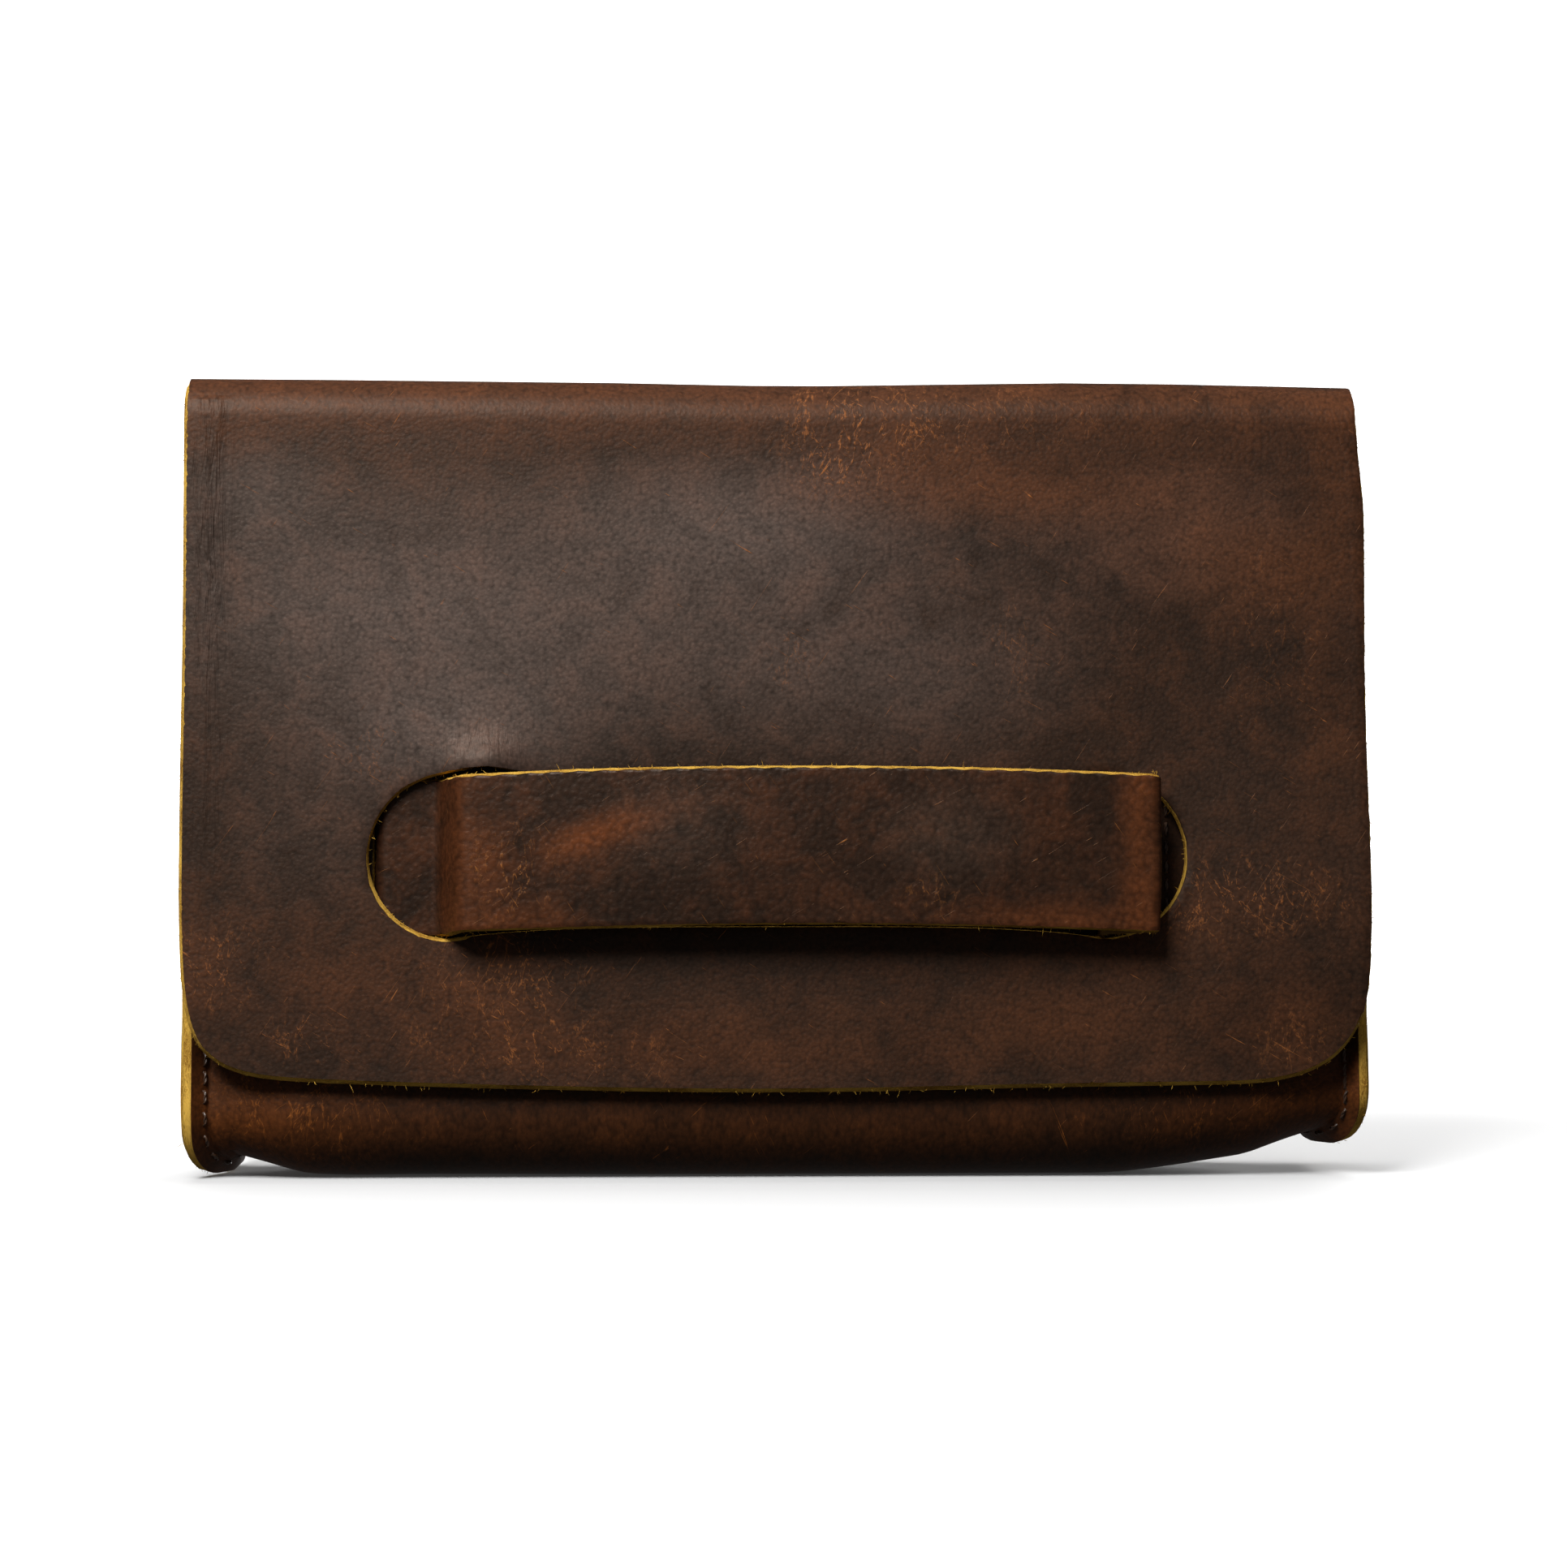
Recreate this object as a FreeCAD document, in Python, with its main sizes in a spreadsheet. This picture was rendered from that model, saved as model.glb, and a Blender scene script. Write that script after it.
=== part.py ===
import FreeCAD, Part
import math
import os
import Sketcher

# Leather brush case with a full front flap, real size in millimetres.
# +Z is up, the front faces -Y, +X is the right-hand side seen from the front.
# "Path" means the innermost U-shaped line down the back, under and up the front.
# Heights above the path (towards the outside of the case) are called "lift".

SIZES = [
    ("case_width", 235), ("leather", 1.7), ("clearance", 0.3), ("fold_gap", 1),
    ("back_line", 19.73), ("back_height", 145.15), ("front_height", 138),
    ("mouth_depth", 20), ("front_tilt", 5), ("bottom_radius", 8),
    ("belly_rise", 3.745), ("belly_half", 96), ("flange", 6),
    ("gusset_inset", 2), ("gusset_lap", 5),
    ("roof_height", 159), ("fold_radius", 8.15), ("flap_gap", 2.3),
    ("flap_drop", 131.7), ("flap_corner", 16),
    ("slot_length", 161), ("slot_width", 32), ("slot_height", 63.7),
    ("strap_width", 31.2), ("strap_lift", 16.6), ("strap_bend", 1.6),
    ("strap_fold", 1.05), ("tab_length", 16), ("tab_lift", 2.6),
    ("left_slit", 78.4), ("left_run", 13), ("left_lean", 2.6), ("left_end", 60),
    ("right_slit", 64.4), ("right_rise", 9.6), ("right_reach", 79.2), ("right_end", 71),
    ("sleeve_leather", 1.2), ("channel_pitch", 22), ("channel_depth", 6.5),
    ("channel_land", 3), ("channel_slope", 3), ("sleeve_base", 14), ("sleeve_top", 104),
    ("stitch_pitch", 3.75), ("stitch_length", 2.6), ("stitch_width", 0.8),
    ("stitch_proud", 0.4), ("stitch_inset", 2),
]
CHANNELS = 8
HALF_TURN = 180
TAB_ROWS = (0.35, 0.8)  # the two rows of stitches, as shares of a tab's length

doc = FreeCAD.newDocument("brush_case")
sheet = doc.addObject("Spreadsheet::Sheet", "dims")
for row, (word, number) in enumerate(SIZES, start=1):
    sheet.set(f"A{row}", word)
    sheet.set(f"B{row}", str(number))
    sheet.setAlias(f"B{row}", word)
doc.recompute()

# Derived lines of the case, written once as formulas on the sheet's words.
OUTSIDE = "(dims.belly_rise + dims.leather)"
FLANGE_STEP = "(dims.flange * sqrt(2) / 2)"
FACE_STEP = "(dims.leather * sqrt(2) / 2)"
TIP = "(dims.case_width / 2)"
ROOT = f"({TIP} - {FLANGE_STEP} - {FACE_STEP})"
TILT = "dims.front_tilt"
FRONT_TOP = "(dims.back_line - dims.mouth_depth)"
FRONT_FOOT = f"({FRONT_TOP} - (dims.front_height - {OUTSIDE}) * tan({TILT}))"
FLAP_LIFT = f"({OUTSIDE} + dims.flap_gap + dims.leather / 2)"
REAR_AXIS_Y = "(dims.back_line + dims.belly_rise + dims.leather / 2)"
REAR_AXIS_Z = "(dims.back_height + dims.leather / 2 + dims.fold_gap)"
ROOF_MID = "(dims.roof_height - dims.leather / 2)"
FOLD_Z = f"({ROOF_MID} - dims.fold_radius)"
HINGE_STEP = "(dims.leather / 2 + dims.fold_gap)"
FOLD_STEP = f"(({FOLD_Z} - dims.front_height) * tan({TILT}))"
FOLD_LINE_Y = f"({FRONT_TOP} + {FOLD_STEP} - {FLAP_LIFT} / cos({TILT}))"
FOLD_Y = f"({FOLD_LINE_Y} + dims.fold_radius / cos({TILT}))"
BEND_END_Y = f"({FOLD_Y} - dims.fold_radius * cos({TILT}))"
BEND_END_Z = f"({FOLD_Z} + dims.fold_radius * sin({TILT}))"
FRONT_AXIS_Y = f"({BEND_END_Y} - {HINGE_STEP} * sin({TILT}))"
FRONT_AXIS_Z = f"({BEND_END_Z} - {HINGE_STEP} * cos({TILT}))"
ROOF_CORNER_Y = f"({FOLD_LINE_Y} + dims.fold_radius * tan({TILT}))"
SLOT_LINE_Z = f"(dims.slot_height - {FLAP_LIFT} * sin({TILT}))"
SLOT_LINE_Y = f"({FRONT_TOP} - (dims.front_height - {SLOT_LINE_Z}) * tan({TILT}))"
SLOT_DROP = f"(({FRONT_AXIS_Z} - dims.slot_height) / cos({TILT}))"


def value(text):
    """Work a formula out to a plain number."""
    return float(sheet.evalExpression(text))


def new_body(label):
    body = doc.addObject("PartDesign::Body", label)
    body.Label = label
    return body


def new_sketch(body, name, role, shift=("0", "0", "0"), turn=0.0, axis=(1, 0, 0)):
    """A sketch on one of the body's own planes, moved and turned from it."""
    sketch = body.newObject("Sketcher::SketchObject", name)
    plane = next(item for item in body.Origin.OriginFeatures if item.Role == role)
    sketch.AttachmentSupport = [(plane, "")]
    sketch.MapMode = "FlatFace"
    spin = FreeCAD.Rotation(FreeCAD.Vector(*axis), turn)
    sketch.AttachmentOffset = FreeCAD.Placement(FreeCAD.Vector(*map(value, shift)), spin)
    for letter, text in zip("xyz", shift):
        sketch.setExpression(f"AttachmentOffset.Base.{letter}", text)
    return sketch


def pin_point(sketch, item, end, spot):
    """Hold one point of the sketch at a place given by two formulas."""
    for kind, text in zip(("DistanceX", "DistanceY"), spot):
        number = sketch.addConstraint(Sketcher.Constraint(kind, -1, 1, item, end, value(text)))
        sketch.setExpression(f"Constraints[{number}]", text)


def hold_radius(sketch, item, text):
    number = sketch.addConstraint(Sketcher.Constraint("Radius", item, value(text)))
    sketch.setExpression(f"Constraints[{number}]", text)


def vector(spot):
    return FreeCAD.Vector(value(spot[0]), value(spot[1]), 0)


def outline(sketch, corners):
    """Draw a closed straight-sided outline."""
    spots = [vector(corner) for corner in corners]
    sides = zip(spots, spots[1:] + spots[:1])
    items = [sketch.addGeometry(Part.LineSegment(a, b)) for a, b in sides]
    for item, following in zip(items, items[1:] + items[:1]):
        sketch.addConstraint(Sketcher.Constraint("Coincident", item, 2, following, 1))
    for item, corner in zip(items, corners):
        pin_point(sketch, item, 1, corner)
    return sketch


def bend_arc(before, corner, after, radius):
    """The arc that rounds one corner, with its two touching points."""
    inward = (corner - before).normalize()
    outward = (after - corner).normalize()
    half_turn = inward.getAngle(outward) / 2
    reach = radius * math.tan(half_turn)
    start = corner - inward * reach
    finish = corner + outward * reach
    middle = corner + (outward - inward).normalize() * (radius / math.cos(half_turn) - radius)
    return start, middle, finish


def turns_left(start, middle, finish):
    """Whether a bend runs anticlockwise, which is the way a sketch stores its arcs."""
    return (middle - start).cross(finish - middle).z > 0


def rounded_path(sketch, corners, radii):
    """Draw an open line through the corners, each inner corner rounded."""
    spots = [vector(corner) for corner in corners]
    bends = []
    for place, text in enumerate(radii, start=1):
        bends.append(bend_arc(spots[place - 1], spots[place], spots[place + 1], value(text)))
    starts = [spots[0]] + [bend[2] for bend in bends]
    finishes = [bend[0] for bend in bends] + [spots[-1]]
    lines = [sketch.addGeometry(Part.LineSegment(a, b)) for a, b in zip(starts, finishes)]
    for place, (bend, text) in enumerate(zip(bends, radii)):
        arc = sketch.addGeometry(Part.Arc(*bend))
        near = 1 if turns_left(*bend) else 2
        mark = sketch.addGeometry(Part.Point(spots[place + 1]), True)
        pin_point(sketch, mark, 1, corners[place + 1])
        sketch.addConstraint(Sketcher.Constraint("Tangent", lines[place], 2, arc, near))
        sketch.addConstraint(Sketcher.Constraint("Tangent", arc, 3 - near, lines[place + 1], 1))
        sketch.addConstraint(Sketcher.Constraint("PointOnObject", mark, 1, lines[place]))
        sketch.addConstraint(Sketcher.Constraint("PointOnObject", mark, 1, lines[place + 1]))
        hold_radius(sketch, arc, text)
    pin_point(sketch, lines[0], 1, corners[0])
    pin_point(sketch, lines[-1], 2, corners[-1])
    doc.recompute()
    return sketch


def sweep(body, name, section, path):
    pipe = body.newObject("PartDesign::AdditivePipe", name)
    pipe.Profile = (section, [""])
    pipe.Spine = (path, [f"Edge{number + 1}" for number in range(len(path.Shape.Edges))])
    section.Visibility = False
    path.Visibility = False
    doc.recompute()
    return pipe


def pad(body, name, sketch, length):
    """Thicken a sketch evenly to both sides of its plane."""
    solid = body.newObject("PartDesign::Pad", name)
    solid.Profile = sketch
    solid.SideType = "Symmetric"
    solid.setExpression("Length", length)
    sketch.Visibility = False
    doc.recompute()
    return solid


def case_path(body):
    """The U-shaped path of the case: down the back, under, up the leaning front."""
    path = new_sketch(body, body.Name + "_path", "YZ_Plane")
    corners = [
        ("dims.back_line", "dims.back_height"), ("dims.back_line", OUTSIDE),
        (FRONT_FOOT, OUTSIDE), (FRONT_TOP, "dims.front_height"),
    ]
    return rounded_path(path, corners, ["dims.bottom_radius"] * 2)


def section_at_back(body, points):
    """A cross-section in (x, lift) at the top of the back."""
    section = new_sketch(body, body.Name + "_section", "XY_Plane", ("0", "0", "dims.back_height"))
    outline(section, [(across, f"dims.back_line + {lift}") for across, lift in points])
    doc.recompute()
    return section


def cut_slit(body, name, across):
    """A stand-up slit through the front wall for the strap."""
    sketch = new_sketch(body, name + "_outline", "XZ_Plane",
                        ("0", SLOT_LINE_Z, f"-{SLOT_LINE_Y}"), -value(TILT))
    half = "(dims.leather / 2 + dims.clearance)"
    tall = "(dims.strap_width / 2 + dims.clearance)"
    outline(sketch, [(f"{across} - {half}", f"-{tall}"), (f"{across} + {half}", f"-{tall}"),
                     (f"{across} + {half}", tall), (f"{across} - {half}", tall)])
    cut = body.newObject("PartDesign::Pocket", name)
    cut.Profile = sketch
    cut.SideType = "Symmetric"
    cut.setExpression("Length", f"3 * {OUTSIDE}")
    sketch.Visibility = False
    doc.recompute()


def make_main_panel():
    """One piece of leather: back, bottom and front, with flanges turned out for the seams."""
    body = new_body("main_panel")
    inner = [(f"-{ROOT}", "0"), (f"-{ROOT} - {FLANGE_STEP}", FLANGE_STEP),
             (f"-{ROOT} - {FLANGE_STEP} + {FACE_STEP}", f"{FLANGE_STEP} + {FACE_STEP}"),
             (f"-{ROOT} + dims.leather * (sqrt(2) - 1)", "dims.leather"),
             ("-dims.belly_half", OUTSIDE)]
    mirrored = [(f"-({across})", lift) for across, lift in reversed(inner)]
    floor = [("dims.belly_half", "dims.belly_rise"), ("-dims.belly_half", "dims.belly_rise")]
    section = section_at_back(body, inner + mirrored + floor)
    sweep(body, "main_panel_sheet", section, case_path(body))
    cut_slit(body, "left_slit_cut", "-dims.left_slit")
    cut_slit(body, "right_slit_cut", "dims.right_slit")
    return body


def make_gusset(label, side):
    """A flat end wall whose edge turns out along the seam; side is -1 left, 1 right."""
    body = new_body(label)
    mid = f"{side} * ({ROOT} + dims.leather / 2)"
    wall = new_sketch(body, label + "_wall", "YZ_Plane", ("0", "0", mid))
    inset = "dims.gusset_inset"
    slope = f"{inset} / cos({TILT})"
    outline(wall, [(f"dims.back_line - {inset}", "dims.back_height"),
                   (f"dims.back_line - {inset}", f"{OUTSIDE} + dims.bottom_radius"),
                   (f"dims.back_line - dims.bottom_radius", f"{OUTSIDE} + {inset}"),
                   (f"{FRONT_FOOT} + dims.bottom_radius", f"{OUTSIDE} + {inset}"),
                   (f"{FRONT_FOOT} + {slope} + dims.bottom_radius * tan({TILT})",
                    f"{OUTSIDE} + dims.bottom_radius"),
                   (f"{FRONT_TOP} + {slope}", "dims.front_height")])
    pad(body, label + "_plate", wall, "dims.leather")
    lap = "-dims.gusset_lap"
    rim = [(ROOT, "0"), (f"{ROOT} + {FLANGE_STEP}", FLANGE_STEP),
           (TIP, f"{FLANGE_STEP} - {FACE_STEP}"),
           (f"{ROOT} + dims.leather", f"-dims.leather * (sqrt(2) - 1)"),
           (f"{ROOT} + dims.leather", lap), (ROOT, lap)]
    section = section_at_back(body, [(f"{side} * ({across})", lift) for across, lift in rim])
    sweep(body, label + "_rim", section, case_path(body))
    return body


def add_knuckle(body, along, up):
    """Round the end of the flap leather about its fold line."""
    ring = new_sketch(body, body.Name + "_knuckle_ring", "YZ_Plane")
    normal = FreeCAD.Vector(0, 0, 1)
    rim = Part.Circle(vector((along, up)), normal, value("dims.leather / 2"))
    circle = ring.addGeometry(rim)
    pin_point(ring, circle, 3, (along, up))
    hold_radius(ring, circle, "dims.leather / 2")
    pad(body, body.Name + "_knuckle", ring, "dims.case_width")


def make_flap_roof():
    """The top of the flap: up from the back, over and round the front bend."""
    body = new_body("flap_roof")
    path = new_sketch(body, "flap_roof_path", "YZ_Plane")
    corners = [(REAR_AXIS_Y, REAR_AXIS_Z), (REAR_AXIS_Y, ROOF_MID),
               (ROOF_CORNER_Y, ROOF_MID), (BEND_END_Y, BEND_END_Z)]
    middle = "dims.fold_radius"
    rounded_roof(path, corners, middle)
    section = new_sketch(body, "flap_roof_section", "XY_Plane", ("0", "0", REAR_AXIS_Z))
    half = "dims.leather / 2"
    outline(section, [(f"-{TIP}", f"{REAR_AXIS_Y} - {half}"), (TIP, f"{REAR_AXIS_Y} - {half}"),
                      (TIP, f"{REAR_AXIS_Y} + {half}"), (f"-{TIP}", f"{REAR_AXIS_Y} + {half}")])
    sweep(body, "flap_roof_sheet", section, path)
    add_knuckle(body, REAR_AXIS_Y, REAR_AXIS_Z)
    return body


def rounded_roof(path, corners, radius):
    """Up, rear bend, along, and a front bend that ends where the hanging flap begins."""
    foot, rear_corner, front_end = (vector(corners[place]) for place in (0, 1, 3))
    front_corner = vector((f"{FOLD_Y} - {radius} * tan(45 - {TILT} / 2)", ROOF_MID))
    rear_bend = bend_arc(foot, rear_corner, front_corner, value(radius))
    front_bend = bend_arc(rear_corner, front_corner, front_end, value(radius))
    up = path.addGeometry(Part.LineSegment(foot, rear_bend[0]))
    rear = path.addGeometry(Part.Arc(*rear_bend))
    along = path.addGeometry(Part.LineSegment(rear_bend[2], front_bend[0]))
    front = path.addGeometry(Part.Arc(*front_bend))
    path.addConstraint(Sketcher.Constraint("Tangent", up, 2, rear, 1))
    path.addConstraint(Sketcher.Constraint("Tangent", rear, 2, along, 1))
    path.addConstraint(Sketcher.Constraint("Tangent", along, 2, front, 1))
    pin_point(path, up, 1, corners[0])
    pin_point(path, rear, 3, (f"{REAR_AXIS_Y} - {radius}", FOLD_Z))
    hold_radius(path, rear, radius)
    pin_point(path, front, 3, (FOLD_Y, FOLD_Z))
    pin_point(path, front, 2, corners[3])
    doc.recompute()


def slot_outline(sketch, centre):
    """A long hole with half-round ends, centred on the sketch's upright axis."""
    half = value("(dims.slot_length - dims.slot_width) / 2")
    radius = value("dims.slot_width / 2")
    middle = value(centre)
    tops = [FreeCAD.Vector(side * half, middle + radius, 0) for side in (-1, 1)]
    feet = [FreeCAD.Vector(side * half, middle - radius, 0) for side in (-1, 1)]
    top = sketch.addGeometry(Part.LineSegment(*tops))
    foot = sketch.addGeometry(Part.LineSegment(*feet))
    right = sketch.addGeometry(Part.Arc(feet[1], FreeCAD.Vector(half + radius, middle, 0), tops[1]))
    left = sketch.addGeometry(Part.Arc(tops[0], FreeCAD.Vector(-half - radius, middle, 0), feet[0]))
    for line, line_end, arc, arc_end in ((top, 2, right, 2), (foot, 2, right, 1),
                                         (top, 1, left, 1), (foot, 1, left, 2)):
        sketch.addConstraint(Sketcher.Constraint("Tangent", line, line_end, arc, arc_end))
    pin_point(sketch, right, 3, ("(dims.slot_length - dims.slot_width) / 2", centre))
    pin_point(sketch, left, 3, ("-(dims.slot_length - dims.slot_width) / 2", centre))
    hold_radius(sketch, right, "dims.slot_width / 2")


def flap_edge(sketch):
    """The hanging flap's edge: square above, two rounded corners below."""
    half, drop, radius = value(TIP), value("dims.flap_drop"), value("dims.flap_corner")
    spots = [FreeCAD.Vector(-half, 0, 0), FreeCAD.Vector(-half, -drop, 0),
             FreeCAD.Vector(half, -drop, 0), FreeCAD.Vector(half, 0, 0)]
    left = bend_arc(spots[0], spots[1], spots[2], radius)
    right = bend_arc(spots[1], spots[2], spots[3], radius)
    pieces = [Part.LineSegment(spots[0], left[0]), Part.Arc(*left),
              Part.LineSegment(left[2], right[0]), Part.Arc(*right),
              Part.LineSegment(right[2], spots[3]), Part.LineSegment(spots[3], spots[0])]
    items = [sketch.addGeometry(piece) for piece in pieces]
    for first, second in zip(items[:4], items[1:5]):
        sketch.addConstraint(Sketcher.Constraint("Tangent", first, 2, second, 1))
    sketch.addConstraint(Sketcher.Constraint("Coincident", items[4], 2, items[5], 1))
    sketch.addConstraint(Sketcher.Constraint("Coincident", items[5], 2, items[0], 1))
    pin_point(sketch, items[0], 1, (f"-{TIP}", "0"))
    pin_point(sketch, items[4], 2, (TIP, "0"))
    for arc, side in ((items[1], "-"), (items[3], "")):
        hold_radius(sketch, arc, "dims.flap_corner")
        across = f"{side}({TIP} - dims.flap_corner)"
        pin_point(sketch, arc, 3, (across, "dims.flap_corner - dims.flap_drop"))


def make_flap_front():
    """The hanging flap with its long slot."""
    body = new_body("flap_front")
    sketch = new_sketch(body, "flap_front_outline", "XZ_Plane",
                        ("0", FRONT_AXIS_Z, f"-{FRONT_AXIS_Y}"), -value(TILT))
    flap_edge(sketch)
    slot_outline(sketch, f"-{SLOT_DROP}")
    pad(body, "flap_front_sheet", sketch, "dims.leather")
    add_knuckle(body, FRONT_AXIS_Y, FRONT_AXIS_Z)
    return body


def make_strap_part(label, corners, radii):
    """A run of strap leather, drawn edge-on in (across, lift) and swept at strap width."""
    body = new_body(label)
    shift = ("0", SLOT_LINE_Y, SLOT_LINE_Z)
    path = new_sketch(body, label + "_path", "XY_Plane", shift, HALF_TURN - value(TILT))
    rounded_path(path, corners, radii)
    start, lift = corners[0]
    section = new_sketch(body, label + "_section", "YZ_Plane", (SLOT_LINE_Y, SLOT_LINE_Z, start),
                         HALF_TURN - value(TILT), (0, 0, 1))
    half, wide = "dims.leather / 2", "dims.strap_width / 2"
    outline(section, [(f"{lift} - {half}", f"-{wide}"), (f"{lift} + {half}", f"-{wide}"),
                      (f"{lift} + {half}", wide), (f"{lift} - {half}", wide)])
    doc.recompute()
    sweep(body, label + "_sheet", section, path)
    return body


def make_strap():
    """The hand strap: two sewn ends with their legs, and the flat grip between them."""
    bend, fold = "dims.strap_bend", "dims.strap_fold"
    under = f"({OUTSIDE} + dims.clearance + dims.leather / 2)"
    make_strap_part("strap_left_end", [
        ("-dims.left_slit - dims.tab_length", "dims.tab_lift"), ("-dims.left_slit", "dims.tab_lift"),
        ("-dims.left_slit", under), ("-dims.left_slit + dims.left_run", under),
        ("-dims.left_slit + dims.left_run + dims.left_lean", "dims.strap_lift"),
        ("-dims.left_end", "dims.strap_lift")], [bend] * 4)
    make_strap_part("strap_right_end", [
        ("dims.right_slit + dims.tab_length", "dims.tab_lift"), ("dims.right_slit", "dims.tab_lift"),
        ("dims.right_slit", "dims.right_rise"), ("dims.right_reach", "dims.strap_lift"),
        ("dims.right_end", "dims.strap_lift")], [bend, bend, fold])
    make_strap_part("strap_grip", [
        ("-dims.left_end + dims.clearance", "dims.strap_lift"),
        ("dims.right_end - dims.clearance", "dims.strap_lift")], [])


def make_sleeve():
    """A strip of thinner leather sewn to the inside of the back as a row of brush channels."""
    body = new_body("brush_sleeve")
    sketch = new_sketch(body, "brush_sleeve_outline", "XY_Plane",
                        ("0", "0", "(dims.sleeve_base + dims.sleeve_top) / 2"))
    wall, crest = [], []
    for number in range(CHANNELS + 1):
        middle = f"({number} - {CHANNELS} / 2) * dims.channel_pitch"
        for side in ("-", "+"):
            foot = f"{middle} {side} dims.channel_land / 2"
            wall.append((foot, "0"))
            crest.append((f"{foot} {side} dims.channel_slope", "dims.channel_depth"))
    rim = [wall[0]]
    for number in range(CHANNELS):
        rim += [wall[2 * number + 1], crest[2 * number + 1], crest[2 * number + 2], wall[2 * number + 2]]
    rim.append(wall[-1])
    behind = [(across, f"dims.back_line + dims.belly_rise - {depth}") for across, depth in rim]
    ahead = [(across, f"dims.back_line + dims.belly_rise - {depth} - dims.sleeve_leather")
             for across, depth in shift_slopes(rim)]
    outline(sketch, behind + ahead[::-1])
    pad(body, "brush_sleeve_strip", sketch, "dims.sleeve_top - dims.sleeve_base")
    return body


def shift_slopes(rim):
    """Move each corner sideways so the slopes keep their thickness."""
    turn = "atan(dims.channel_depth / dims.channel_slope)"
    step = f"dims.sleeve_leather * tan({turn} / 2)"
    signs = ["0"] + ["-", "-", "+", "+"] * CHANNELS + ["0"]
    shifted = []
    for (across, depth), sign in zip(rim, signs):
        shifted.append((across if sign == "0" else f"{across} {sign} {step}", depth))
    return shifted


def stitch(spot, along, across):
    """One stitch: a flat bar through the leather, a little proud on both faces."""
    length, width = value("dims.stitch_length"), value("dims.stitch_width")
    depth = value("2 * dims.leather + 2 * dims.stitch_proud")
    through = along.cross(across)
    box = Part.makeBox(length, width, depth, FreeCAD.Vector(-length / 2, -width / 2, -depth / 2))
    box.Placement = FreeCAD.Placement(spot, FreeCAD.Rotation(along, across, through, "XZY"))
    return box


def add_stitches(label, stitches):
    thread = doc.addObject("Part::Feature", label)
    thread.Shape = Part.makeCompound(stitches)
    thread.Label = label
    thread.Placement = FreeCAD.Placement()


def make_seam_thread(label, side, path):
    """Stitches down one seam flange, round the bottom and up the other side."""
    wire = path.Shape.Wires[0]
    count = int(wire.Length / value("dims.stitch_pitch"))
    spots = wire.discretize(Number=count)
    lift = value("dims.stitch_inset * sqrt(2) / 2")
    stitches = []
    for before, spot, after in zip(spots, spots[1:], spots[2:]):
        along = (after - before).normalize()
        out = FreeCAD.Vector(1, 0, 0).cross(along)
        if out.dot(spot - wire.CenterOfMass) < 0:
            out = out * -1
        across = (FreeCAD.Vector(side, 0, 0) + out).normalize()
        place = FreeCAD.Vector(side * (value(ROOT) + lift), spot.y, spot.z) + out * lift
        stitches.append(stitch(place, along, across))
    add_stitches(label, stitches)


def make_tab_thread(label, inner, side):
    """Two rows of stitches holding a strap tab to the inside of the front wall."""
    tilt = math.radians(value(TILT))
    upward = FreeCAD.Vector(0, math.sin(tilt), math.cos(tilt))
    outward = FreeCAD.Vector(0, -math.cos(tilt), math.sin(tilt))
    base = FreeCAD.Vector(0, value(SLOT_LINE_Y), value(SLOT_LINE_Z))
    base += outward * value("dims.belly_rise")
    sideways = FreeCAD.Vector(1, 0, 0)
    pitch = value("dims.stitch_pitch")
    rows = int((value("dims.strap_width") - pitch) / pitch)
    stitches = []
    for share in TAB_ROWS:
        across = side * (inner + share * value("dims.tab_length"))
        for number in range(rows):
            up = (number - (rows - 1) / 2) * pitch
            stitches.append(stitch(base + upward * up + sideways * across, upward, sideways))
    add_stitches(label, stitches)


def make_sleeve_thread():
    """Stitches down every land between the brush channels."""
    pitch = value("dims.stitch_pitch")
    tall = value("dims.sleeve_top - dims.sleeve_base")
    rows = int(tall / pitch)
    depth = value("dims.back_line + dims.belly_rise")
    upward = FreeCAD.Vector(0, 0, 1)
    sideways = FreeCAD.Vector(1, 0, 0)
    stitches = []
    for number in range(CHANNELS + 1):
        across = (number - CHANNELS / 2) * value("dims.channel_pitch")
        for row in range(rows):
            up = value("dims.sleeve_base") + (row + 1 / 2) * tall / rows
            stitches.append(stitch(FreeCAD.Vector(across, depth, up), upward, sideways))
    add_stitches("sleeve_thread", stitches)


main_panel = make_main_panel()
make_gusset("left_gusset", -1)
make_gusset("right_gusset", 1)
make_flap_roof()
make_flap_front()
make_strap()
make_sleeve()
seam_path = doc.getObject("main_panel_path")
make_seam_thread("left_seam_thread", -1, seam_path)
make_seam_thread("right_seam_thread", 1, seam_path)
make_tab_thread("left_tab_thread", value("dims.left_slit"), -1)
make_tab_thread("right_tab_thread", value("dims.right_slit"), 1)
make_sleeve_thread()
doc.recompute()

os.makedirs("parts", exist_ok=True)
for item in doc.Objects:
    if "Invalid" in item.State or "Error" in item.State:
        raise RuntimeError(f"{item.Name} did not recompute: {item.State}")
    if item.TypeId in ("PartDesign::Body", "Part::Feature"):
        if not item.Shape.isValid():
            raise RuntimeError(f"{item.Label} is not a valid shape")
        item.Shape.exportStep(f"parts/{item.Label}.step")
        box = item.Shape.BoundBox
        print(item.Label, len(item.Shape.Solids), "solids", round(item.Shape.Volume, 1), "mm3",
              [round(v, 2) for v in (box.XMin, box.XMax, box.YMin, box.YMax, box.ZMin, box.ZMax)])
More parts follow.
